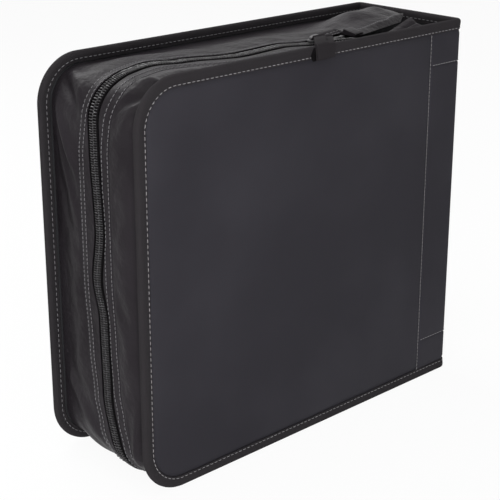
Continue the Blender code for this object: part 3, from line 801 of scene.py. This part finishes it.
def build_panel(word, side):
    """The leatherette panel, drawn down at the binding and at the seam, fuller between."""
    # Inset, distance from the seam, depth below the face
    rings = (
        (0.0060, 0.0000, 0.00140), (0.0060, 0.0000, 0.00090), (0.0090, 0.0003, 0.00100),
        (0.0100, 0.0007, 0.00060), (0.0113, 0.0014, 0.00020), (0.0140, 0.0030, -0.00010),
        (0.0210, 0.0070, -0.00028), (0.0320, 0.0150, -0.00035),
    )
    points = []
    for inset, off_seam, lower in rings:
        y = side * (HALF_THICKNESS - SKIN_DEPTH - lower)
        points += [(x, y, z) for x, z in cover_outline(inset, SEAM_X - 0.0002 - off_seam)]
    skin = closed_mesh(points, band_faces(len(rings), len(points) // len(rings)))
    own(f"{word}_panel_skin", skin, "leatherette", f"{word}_cover", [f"{word}_panel", f"{word}_board"])
    low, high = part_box(f"{word}_lining")
    place = upright((low.y + high.y) / 2)
    plate = flat_plate([cover_outline(0.0090, LINING_END_X)], high.y - low.y, place)
    own(f"{word}_cover_lining", plate, "lining", f"{word}_cover", [f"{word}_lining"])


# Gussets

TOP_SEAT = ((0.0, -0.0024), (0.2, -0.0030), (0.7, 0.0))
EDGE_SEAT = {
    1: ((0.0, -0.0030), (0.3, -0.0024), (0.8, 0.0)),
    -1: ((0.0, 0.0008), (0.35, 0.0022), (0.9, 0.0)),
}
LOOSE_WIDTH = 0.040
FULLNESS = 0.0013
NYLON = 0.0007
TAPE_SHEET = 0.0005
# The hem lies a step below the loose cloth and lifts towards its edge, more so on the top run
HEM_STEP = 0.0003
HEM_LIFT = {1: 0.0006, -1: 0.0}
TOP_LIFT = {1: 0.0008, -1: 0.0004}
TAPE_RAMP = {1: 0.0013, -1: 0.0005}
COIL_GAPS = {1: 0.0020, -1: 0.0024}
TOP_GAP = {1: 0.0, -1: 0.0012}
HEM_START = 1.012
NARROWEST_HEM = 0.004
NARROWEST_CLOTH = 0.012
# Past the zip's end the back hem's edge steps aside and then slants back
END_STEP = 0.0175
END_SLANT = 0.0155
CREST = 0.0100
# Soft folds: distance and share of the width at both ends, half width, height
FOLDS = {
    1: (
        (0.218, 0.05, 0.236, 0.95, 0.0048, 0.0032), (0.226, 0.05, 0.250, 0.90, 0.0040, -0.0040),
        (0.236, 0.02, 0.290, 0.95, 0.0042, 0.0044), (0.246, 0.00, 0.310, 0.85, 0.0045, -0.0036),
        (0.262, 0.05, 0.326, 0.95, 0.0050, 0.0019), (0.290, 0.05, 0.346, 0.80, 0.0056, -0.0014),
        (0.420, 0.95, 0.462, 0.15, 0.0070, 0.0012), (0.440, 0.10, 0.475, 0.90, 0.0055, -0.0012),
        (0.455, 0.05, 0.492, 0.95, 0.0050, 0.0016), (0.470, 0.00, 0.508, 0.85, 0.0050, -0.0014),
        (0.486, 0.05, 0.522, 0.90, 0.0055, 0.0013), (0.366, 0.30, 0.408, 0.95, 0.0080, 0.0009),
        (0.150, 0.10, 0.196, 0.85, 0.0080, 0.0009), (0.090, 0.15, 0.130, 0.80, 0.0090, -0.0007),
    ),
    -1: (
        (0.226, 0.20, 0.238, 0.90, 0.0045, -0.0040), (0.206, 0.00, 0.218, 0.90, 0.0055, 0.0032),
        (0.236, 0.00, 0.262, 0.85, 0.0050, 0.0014), (0.256, 0.10, 0.300, 0.90, 0.0065, -0.0009),
        (0.300, 0.10, 0.345, 0.90, 0.0080, 0.0007), (0.372, 0.90, 0.408, 0.15, 0.0060, -0.0009),
        (0.390, 0.95, 0.432, 0.20, 0.0060, 0.0009), (0.440, 0.15, 0.480, 0.90, 0.0060, -0.0010),
        (0.462, 0.10, 0.505, 0.90, 0.0055, 0.0013), (0.480, 0.05, 0.520, 0.80, 0.0050, -0.0010),
        (0.150, 0.15, 0.190, 0.85, 0.0070, 0.0010), (0.110, 0.80, 0.150, 0.15, 0.0080, -0.0008),
    ),
}


def hem_edge(side, distance):
    """Y of a gusset's free edge: close to the coil, and past the zip's top end on its own way."""
    gap = COIL_GAPS[side] + TOP_GAP[side] * top_share(distance)
    coil = coil_start(side, distance) + side * (COIL_WIDTH + gap)
    past = -distance
    if side < 0:
        return coil - 0.010 * smooth(past / 0.02)
    if past > -0.003:
        return coil - END_STEP * smooth((past + 0.002) / 0.004) + END_SLANT * clamped(past / 0.071, 1.0)
    return coil


def fold_height(side, distance, share):
    """Height of the soft folds at a place on the loose cloth."""
    total = 0.0
    for first, low, last, high, width, height in FOLDS[side]:
        run = Vector((last - first, (high - low) * LOOSE_WIDTH))
        here = Vector((distance - first, (share - low) * LOOSE_WIDTH))
        part = here.dot(run) / run.length_squared
        off = (here - run * clamped(part, 1.0)).length
        total += height * math.exp(-((off / width) ** 2)) * (0.6 + 0.4 * bump(part * 2 - 1))
    ripple = math.sin(distance * 190.0 + share * 4.0 + side) + math.sin(distance * 87.0 - share * 6.0)
    return total + 0.00022 * ripple


def end_lift(side, past, across):
    """The puffed back end and the turned-up fold of the front end, past the zip by a distance."""
    if side < 0:
        ramp = clamped((past - 0.034) / (FRONT_FOLD - 0.034), 1.0) ** 1.2
        return 0.0085 * ramp * (1.0 - smooth((past - FRONT_FOLD) / 0.008)) * smooth(across)
    near = smooth((past + 0.030) / 0.030)
    seam = near * (0.0042 + 0.0028 * smooth((past - 0.010) / 0.045))
    seam *= 1.0 - 0.12 * smooth((past - 0.070) / 0.014)
    edge = near * 0.0010 + 0.0006 * smooth(past / 0.070)
    crest = CREST * smooth((past - 0.002) / 0.040) * (1.0 - 0.40 * smooth((past - 0.068) / 0.016))
    crease = 0.0011 * math.exp(-(((past - 0.026 - (0.5 - across) * 0.02) / 0.0055) ** 2))
    if across < 0.55:
        return (crest - crease) * smooth(across / 0.55)
    if across < 0.88:
        return crest - crease + (seam - crest + crease) * smooth((across - 0.55) / 0.33)
    return seam + (edge - seam) * ((across - 0.88) / 0.12) ** 1.4


def gusset_edges(side, distance):
    """Y of a gusset's free edge and of the fold at its hem, kept clear of the cover."""
    edge = hem_edge(side, distance)
    fold = along_table(HEM_SEAMS[side], distance) + side * 0.0010
    if (edge - fold) * side > -NARROWEST_HEM:
        fold = edge + side * NARROWEST_HEM
    if INNER_FACE - side * fold < NARROWEST_CLOTH:
        fold = side * (INNER_FACE - NARROWEST_CLOTH)
        edge = fold - side * min(abs(edge - fold), 0.011)
    return edge, fold


def gusset_rise(side, distance, across):
    """How far a gusset stands out at a place, without its puffed end."""
    share = min(across, 1.0)
    first = smooth((distance - TOP_RUN) / CORNER_RUN)
    second = smooth((distance - CORNER_2) / CORNER_RUN)
    rise = zip_rise(distance) * (smooth(share) * (1.0 - second) + smooth((across - 0.9) / 0.9) * second)
    seat = along_table(TOP_SEAT, share) * (1.0 - first) + along_table(EDGE_SEAT[side], share) * first
    rise += seat * (1.0 - 0.7 * second)
    if across > 1.0:
        lift = HEM_STEP + HEM_LIFT[side] + TOP_LIFT[side] * top_share(distance)
        return rise - HEM_STEP + lift * smooth((across - 1.0) * 3.0)
    loose = smooth(share * 3.0) * smooth((1.0 - share) * 5.0)
    rise += FULLNESS * (1.0 - 0.85 * second) * math.sin(math.pi * share)
    return rise + fold_height(side, distance, share) * loose - HEM_STEP * smooth((share - 0.9) * 10.0)


def gusset_point(side, distance, across):
    """A point of a gusset: 0 to 1 is the loose cloth from the cover, 1 to 2 is the hem."""
    if distance < 0.0 and side > 0:
        distance *= 1.0 - BACK_END_TRIM / BACK_END_LENGTH * (across / 2) ** 3
    edge, fold = gusset_edges(side, distance)
    seat = side * INNER_FACE
    y = seat + (fold - seat) * across if across <= 1.0 else fold + (edge - fold) * (across - 1.0)
    rise = gusset_rise(side, distance, across)
    if side > 0 and distance < 0.030 or distance < 0.0:
        rise += end_lift(side, -distance, (seat - y) / (seat - edge))
    return course_point(distance, y, rise)


def build_gusset_cloth(word, side):
    """One nylon gusset with its turned-back hem, from the cover to its free edge."""
    past_top = BACK_END_LENGTH - 0.005 if side > 0 else FRONT_END_LENGTH
    last = BOTTOM_END + BOTTOM_END_LENGTH
    columns = evenly(-past_top, -0.0035, 0.0022) + evenly(-0.0028, 0.0035, 0.0007)
    columns += evenly(0.0050, last, 0.0022)
    rows = evenly(0.0, 1.0, 1 / 26) + [HEM_START, 1.06, 1.2, 1.35, 1.5, 1.65, 1.8, 1.93, 2.0]

    def cloth(distance, across):
        return gusset_point(side, distance, across), outward(distance)

    cloth_mesh = sheet_mesh(columns, rows, cloth, NYLON)
    own(f"{word}_gusset_cloth", cloth_mesh, "nylon", f"{word}_cover", [f"{word}_gusset"])

    sewn = []
    first = 0.012 - past_top if side > 0 else 0.003
    for line, start in ((0.0010, first), (0.0010 + HEM_WIDTH[side], 0.003)):
        def place(distance):
            fold = gusset_point(side, distance, HEM_START)
            edge = gusset_point(side, distance, 2.0)
            share = min(line / max(abs(edge.y - fold.y), 0.0001), 0.97)
            up = outward(distance)
            return gusset_point(side, distance, HEM_START + (2.0 - HEM_START) * share) + up * 0.00022, up

        sewn.append(stitches_mesh(place, start, last - 0.004, HEM_THREAD))
    own(f"{word}_hem_stitches", joined(sewn), "thread_faint", f"{word}_cover")


def build_zip_half(word, side):
    """The tape under a gusset's hem, the coil half sewn to it, and its two end stops."""
    def tape(distance, share):
        reach = TAPE_WIDTH * share
        ramp = smooth((reach - COIL_WIDTH) / 0.0020) * (1.0 - smooth((reach - 0.0075) / 0.0030))
        rise = zip_rise(distance) + TAPE_TOP + TAPE_RAMP[side] * top_share(distance) * ramp
        y = coil_start(side, distance) + side * (0.0005 + reach)
        return course_point(distance, y, rise), outward(distance)

    shares = (0.0, 0.1, 0.2, 0.3, 0.36, 0.42, 0.5, 0.6, 0.7, 0.8, 0.9, 1.0)
    tape_mesh = sheet_mesh(evenly(0.0, BOTTOM_END, 0.003), shares, tape, TAPE_SHEET)
    own(f"{word}_tape", tape_mesh, "zip_tape", f"{word}_cover", [f"{word}_zip_tape"])
    build_coil(word, side)
    for end in ("top", "bottom"):
        build_stop(word, end)


COIL_PITCH = 0.00180
COIL_WIRE = 0.00040
COIL_LOOP = 10
# Underside and top of the slider's plates, above its lowest point
SLIDER_PLATES = ((0.0, 0.0016), (0.0046, 0.0066))
BRIDGE_FOOT = 0.0062
BRIDGE_HALF_LENGTH = 0.0052
BRIDGE_HALF_WIDTH = 0.0017


def build_coil(word, side):
    """One half of the spiral zip: a flattened coil round a cord, its heads over the middle."""
    start, end = COIL_SHORT, BOTTOM_END - COIL_SHORT
    offset = COIL_PITCH / 2 if side > 0 else 0.0
    head_y = -SLIT / 2 - 0.00035
    middle = (COIL_WIDTH + head_y) / 2
    half_width = (COIL_WIDTH - head_y) / 2 - COIL_WIRE
    level = (COIL_HIGH + COIL_LOW) / 2
    half_height = (COIL_HIGH - COIL_LOW) / 2 - COIL_WIRE
    path, radii = [], []
    for turn in range(int((end - start) / COIL_PITCH)):
        for step in range(COIL_LOOP):
            share = step / COIL_LOOP
            angle = 2 * math.pi * share
            over = math.sin(angle)
            forward = 0.0 if over >= 0 else (share - 0.5) * 2
            distance = start + offset + (turn + forward) * COIL_PITCH
            y = coil_start(side, distance) + side * (middle + half_width * math.cos(angle))
            path.append(course_point(distance, y, zip_rise(distance) + level + half_height * over))
            radii.append(COIL_WIRE * (1.0 + 0.35 * bump((share - 0.5) / 0.16)))
    own(f"{word}_coil", tube_mesh(path, radii, 5), "zip_coil", f"{word}_cover", [f"{word}_zip_coil"])
    section = (
        (0.0006, -0.0008), (COIL_WIDTH + 0.0004, -0.0009), (COIL_WIDTH + 0.0003, 0.0003),
        (COIL_WIDTH - 0.0006, 0.0006), (0.0010, 0.0006), (0.0006, 0.0002),
    )
    rows = []
    for distance in evenly(start, end, 0.003):
        y, rise = coil_start(side, distance), zip_rise(distance)
        rows.append([course_point(distance, y + side * a, rise + b) for a, b in section])
    own(f"{word}_coil_cord", swept_mesh(rows), "zip_tape", f"{word}_cover")


def build_tape_fold():
    """The squared fold that ends the back gusset's hem above the zip's top end."""
    near, far = 0.0664, 0.0780
    front, back = -0.0335, -0.0205
    rows = []
    for share in evenly(0.0, 1.0, 1 / 6):
        x = near + (far - near) * share
        left, right = front + 0.0022 * share, back + 0.0022 * share
        ease = 0.0003 * (1.0 - smooth(min(share, 1.0 - share) / 0.15))
        low = SURFACE_Z + 0.0017 + ease
        top = low - 2 * ease
        rows.append([
            (x, left + 0.0004, low), (x, right, low + 0.0004), (x, right, top + 0.0046),
            (x, right - 0.0007, top + 0.0051), (x, left + 0.0008, top + 0.0030), (x, left, top + 0.0023),
        ])
    own("back_tape_fold", swept_mesh(rows), "nylon", "back_cover")


def block_row(x, centre_y, centre_z, half_y, half_z, power, sides):
    """A rounded rectangular outline across X, squarer for a smaller power."""
    row = []
    for step in range(sides):
        turn = 2 * math.pi * step / sides
        y = math.copysign(abs(math.cos(turn)) ** power, math.cos(turn))
        z = math.copysign(abs(math.sin(turn)) ** power, math.sin(turn))
        row.append((x, centre_y + half_y * y, centre_z + half_z * z))
    return row


def build_slider():
    """Zip slider: two tapered plates and an arched bridge that holds the link."""
    low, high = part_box("zip_slider")
    middle = (low + high) / 2

    def plate(bottom, top):
        rows = []
        for share in evenly(0.0, 1.0, 1 / 12):
            out = abs(2 * share - 1)
            half = (high.y - low.y) / 2 * (0.60 + 0.40 * smooth(share * 1.7)) * (1.0 - out ** 7 * 0.45)
            thick = (top - bottom) / 2 * (1.0 - out ** 6 * 0.5)
            x = low.x + (high.x - low.x) * share
            rows.append(block_row(x, middle.y, low.z + (bottom + top) / 2, half, thick, 0.6, 20))
        return swept_mesh(rows)

    arch = []
    across = Vector((0.0, BRIDGE_HALF_WIDTH, 0.0))
    for step in range(15):
        turn = math.pi * step / 14
        z = low.z + BRIDGE_FOOT + (high.z - low.z - BRIDGE_FOOT - 0.0005) * math.sin(turn) ** 0.55
        centre = Vector((middle.x - BRIDGE_HALF_LENGTH * math.cos(turn), middle.y, z))
        tilt = Vector((-math.cos(turn), 0.0, math.sin(turn))) * 0.0005
        high_side, low_side = centre + tilt, centre - tilt
        arch.append([high_side + across, high_side - across, low_side - across, low_side + across])
    meshes = [plate(bottom, top) for bottom, top in SLIDER_PLATES] + [swept_mesh(arch)]
    own("slider_body", joined(meshes), "slider_metal", "slider", ["zip_slider"])


def build_stop(word, end):
    """A metal stop crimped over the end of a coil half: a rounded block with a waist."""
    low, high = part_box(f"{word}_{end}_stop")
    middle = (low + high) / 2
    rows = []
    for share in evenly(0.0, 1.0, 1 / 8):
        round_off = 0.25 * (1.0 - smooth(min(share, 1.0 - share) / 0.22))
        swell = (1.0 - round_off - 0.10 * bump((share - 0.5) / 0.4)) / 2
        x = low.x + (high.x - low.x) * share
        half = (high - low) * swell
        rows.append(block_row(x, middle.y, middle.z, half.y, half.z, 0.5, 16))
    own(f"{word}_{end}_crimp", swept_mesh(rows), "slider_metal", f"{word}_cover", [f"{word}_{end}_stop"])


# Pull

PULL_EYE = Vector((0.0200, -0.0435, 0.3111))
PULL_WIDTH = 0.0205
PULL_LEAN = 0.0130
WEBBING = 0.0009


def build_link():
    """The bent wire that joins the slider's bridge to the pull."""
    slider_x = middle_of("zip_slider").x
    far_x = slider_x - 0.0135
    near, far = 0.0026, 0.0080
    corners = [
        Vector((slider_x - near, -0.022, 0.3073)), Vector((slider_x + near, -0.022, 0.3073)),
        Vector((far_x + far, PULL_EYE.y, PULL_EYE.z)), Vector((far_x - far, PULL_EYE.y, PULL_EYE.z)),
    ]
    loop = []
    for index, corner in enumerate(corners):
        following = corners[(index + 1) % 4]
        before = corner + (corners[index - 1] - corner).normalized() * 0.0012
        after = corner + (following - corner).normalized() * 0.0012
        for share in evenly(0.0, 1.0, 1 / 6):
            loop.append(before.lerp(corner, share).lerp(corner.lerp(after, share), share))
        loop += [after.lerp(following, step / 4) for step in range(1, 4)]
    own("pull_link_wire", tube_mesh(loop, 0.0007, 10, True), "slider_metal", "puller", ["puller_link"])


def pull_route(offset, drop):
    """Course of one layer of the pull: share of the lean, Y and Z, from the link down the front."""
    front_y = -HALF_THICKNESS
    shoulder_z = HEIGHT - 0.0003
    route = [
        (0.0, PULL_EYE.y + 0.0016 + offset * 0.5, PULL_EYE.z),
        (0.0, PULL_EYE.y + 0.0010, PULL_EYE.z + 0.0010 + offset),
    ]
    for share in evenly(0.0, 0.92, 0.115):
        z = HEIGHT + 0.0004 + offset + 0.0008 * (1 - share) + 0.0007 * math.sin(math.pi * share)
        route.append((share, PULL_EYE.y - (PULL_EYE.y - front_y) * share, z))
    for step in range(1, 7):
        turn = math.pi / 2 * step / 6
        reach = 0.0007 + offset
        route.append((1.0, front_y - reach * math.sin(turn), shoulder_z + reach * math.cos(turn)))
    for share in evenly(0.2, 1.0, 0.16):
        y = front_y - 0.0007 - offset - 0.0005 * share
        route.append((1.0 + 0.03 * share, y, shoulder_z - drop * share))
    return route


def build_pull():
    """Folded webbing pull: round the link's bar, over the front edge and down the front."""
    def layer(offset, drop, narrow, shift):
        def place(at, step):
            leaning, y, z = at
            curl = 0.0002 * (2 * abs(step)) ** 4
            x = PULL_EYE.x - PULL_LEAN * leaning + shift + (PULL_WIDTH - narrow) * step
            y -= 0.0008 * smooth((HEIGHT - z) / 0.006) * smooth(0.6 - step)
            if z < HEIGHT - 0.0002:
                return (x, y + curl, z), (0.0, -1.0, 1.0)
            return (x, y, z - curl), (0.0, -1.0, 1.0)

        return sheet_mesh(pull_route(offset, drop), evenly(-0.5, 0.5, 1 / 12), place, WEBBING)

    under = layer(0.0012, 0.0094, 0.0, 0.0)
    upper = layer(0.0027, 0.0080, 0.0080, -0.0040)
    own("pull_webbing", joined([under, upper]), "webbing", "puller", ["pull_tab"])

    # Painted shade: a thin black sheet just in front of the front cover, beside and under the tab's left
    # edge, standing for the shadowed gap under the lifted tab; its left edge bulges where that shadow is
    # widest
    def shade_strip(drop, step):
        left = -0.0042 - 0.0027 * bump((drop - 0.0062) / 0.0068)
        return (left - left * step / 8, -HALF_THICKNESS - 0.0003, HEIGHT - drop), (0.0, -1.0, 0.0)

    shade_strip_mesh = sheet_mesh(evenly(0.0005, 0.0104, 0.0010), range(9), shade_strip, 0.0003)
    own("pull_painted_shade_strip", shade_strip_mesh, "zip_tape", "puller")


# Pages and rings

PAGE_COUNT = 22
PAGE = 0.0004
FILM = 0.00012
POCKET = 0.1285
POCKET_MARGIN = 0.0045
POCKET_GAP = 0.004
NOTCH = 0.010
RING_WIRE = 0.0016


def rounded_box(low, high, fore, radius):
    """The outline of a page, round at its corners."""
    outline = []
    for x, z, first in (
        (high.x - radius, high.z - radius, 0.0), (fore + radius, high.z - radius, 0.5),
        (fore + radius, low.z + radius, 1.0), (high.x - radius, low.z + radius, 1.5),
    ):
        outline += arc(x, z, radius, math.pi * first, math.pi * (first + 0.5), 4)
    return outline


def pocket_outline(x, z, open_left):
    """A pocket with a thumb notch in its open side."""
    mouth, back, way = (x, x + POCKET, 1.0) if open_left else (x + POCKET, x, -1.0)
    notch = arc(mouth, z + POCKET / 2, NOTCH, math.pi / 2, math.pi / 2 - way * math.pi, 8)
    return [(mouth, z + POCKET)] + notch + [(mouth, z), (back, z), (back, z + POCKET)]


def build_pages():
    """The sleeve pages: dark sheets with four clear pockets on each side, on the rings."""
    low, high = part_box("page_block")
    ring_low, ring_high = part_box("ring_1")
    ring_radius = (ring_high.x - ring_low.x) / 2 - RING_WIRE
    heights = [middle_of(f"ring_{number}").z for number in (1, 2, 3)]
    step = POCKET + POCKET_GAP
    columns = (low.x + POCKET_MARGIN, low.x + POCKET_MARGIN + step)
    levels = (low.z + POCKET_MARGIN, low.z + POCKET_MARGIN + step)
    sheets, films = [], []
    for number in range(PAGE_COUNT):
        y = low.y + (high.y - low.y) / PAGE_COUNT * (number + 0.5)
        hole_x = middle_of("ring_1").x - math.sqrt(max(ring_radius ** 2 - y ** 2, 0.0))
        holes = [circle(hole_x, z, 0.0028) for z in heights]
        page = rounded_box(low, high, low.x + 0.0007 * math.sin(number * 2.1), 0.004)
        sheets.append(flat_plate([page] + holes, PAGE, upright(y)))
        for off in (-PAGE / 2 - FILM, PAGE / 2 + FILM):
            for x, open_left in zip(columns, (True, False)):
                for z in levels:
                    films.append(flat_plate([pocket_outline(x, z, open_left)], FILM, upright(y + off)))
    own("sleeve_pages", joined(sheets), "pages", "spine", ["page_block"])
    own("sleeve_pockets", joined(films), "page_film", "spine")


def soften(node, width):
    """Round the edges of a solid that stays in view."""
    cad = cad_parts[node]
    step = cad.modifiers.new("edges", "BEVEL")
    step.width = width
    step.segments = 3
    step.limit_method = "ANGLE"
    step.harden_normals = False


def build_rings():
    """Three steel rings; the strip and rivets that hold them stay as the solids are."""
    for number in (1, 2, 3):
        low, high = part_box(f"ring_{number}")
        radius = (high.x - low.x) / 2 - RING_WIRE
        centre = (low + high) / 2
        loop = [(x, y, centre.z) for x, y in circle(centre.x, centre.y, radius, 56)]
        ring = tube_mesh(loop, RING_WIRE, 12, True)
        own(f"steel_ring_{number}", ring, "ring_steel", "spine", [f"ring_{number}"])
    soften("ring_strip", 0.0006)
    for number in (1, 2):
        soften(f"strip_rivet_{number}", 0.0003)


# Floor, light and camera

FLOOR_GLOW = 0.94
FLOOR_REACH = 30.0
WHITE = (1.0, 1.0, 1.0, 1.0)
SKY_COLOUR = (0.97, 0.98, 1.0, 1.0)
SKY_STRENGTH = 0.28
LIGHT_AIM = Vector((0.0, 0.0, 0.15))
# Name, place, size in metres, power in watts
SOFTBOXES = (
    ("left_softbox", (-1.5, -0.9, 0.8), 0.9, 2.0),
    ("front_softbox", (-0.74, -0.90, 0.18), 0.7, 12.0),
    ("top_softbox", (-0.60, -0.15, 1.30), 0.9, 7.0),
    ("back_softbox", (0.05, 0.95, 1.25), 0.8, 11.0),
)
CAMERA_AIM = Vector((-0.0141, 0.0, 0.1409))
CAMERA_TURN = math.radians(-43.46)
CAMERA_RISE = math.radians(19.86)
CAMERA_DISTANCE = 1.072
CAMERA_LENS = 97.2


def build_floor():
    """Pale floor, which seen rays find nearly white and which still shows the shadow."""
    paint = Paint("floor")
    colour = paint.between((0.93, 0.93, 0.93), (0.96, 0.96, 0.96), paint.noise(0.8, 2.0))
    paint.finish(colour, 0.95, None, 0.0, Specular_IOR_Level=0.0)
    paint.show_mixed("Material Output", paint.seen() * FLOOR_GLOW, paint.node("ShaderNodeEmission"))
    mesh = bpy.data.meshes.new("floor")
    corners = [(x * FLOOR_REACH, y * FLOOR_REACH, 0.0) for x, y in ((-1, -1), (1, -1), (1, 1), (-1, 1))]
    mesh.from_pydata(corners, [], [(0, 1, 2, 3)])
    mesh.materials.append(paint.material)
    add_object("floor", mesh)


def build_sky():
    """Dim even light from all round, and white where it is seen."""
    world = bpy.data.worlds.new("studio")
    bpy.context.scene.world = world
    paint = Paint("studio", world)
    paint.fill(paint.shader, {"Color": SKY_COLOUR, "Strength": SKY_STRENGTH})
    white = paint.node("ShaderNodeBackground", None, {"Color": WHITE, "Strength": 1.0})
    paint.show_mixed("World Output", paint.seen(), white)


def build_softboxes():
    """Square lamps that look at the middle of the case."""
    for name, place, size, power in SOFTBOXES:
        data = bpy.data.lights.new(name, "AREA")
        data.size = size
        data.energy = power
        lamp = add_object(name, data)
        lamp.location = place
        lamp.rotation_euler = (Vector(place) - LIGHT_AIM).to_track_quat("Z", "Y").to_euler()


def build_camera():
    """Camera at the photograph's viewing angle."""
    data = bpy.data.cameras.new("camera")
    data.sensor_width = 36.0
    data.lens = CAMERA_LENS
    data.clip_start = 0.05
    data.clip_end = 100.0
    camera = add_object("camera", data)
    back = Vector((
        math.sin(CAMERA_TURN) * math.cos(CAMERA_RISE),
        -math.cos(CAMERA_TURN) * math.cos(CAMERA_RISE),
        math.sin(CAMERA_RISE),
    ))
    camera.location = CAMERA_AIM + back * CAMERA_DISTANCE
    camera.rotation_euler = back.to_track_quat("Z", "Y").to_euler()
    bpy.context.scene.camera = camera
    bpy.context.scene.view_settings.view_transform = "Standard"


for word, side in SIDES:
    build_cover_binding(word, side)
    build_panel(word, side)
    build_hinge_wrap(word, side)
    build_hinge_tapes(word, side)
    build_hinge_seams(word, side)
    build_gusset_cloth(word, side)
    build_zip_half(word, side)
build_tape_fold()
build_slider()
build_link()
build_pull()
build_pages()
build_rings()
build_floor()
build_sky()
build_softboxes()
build_camera()
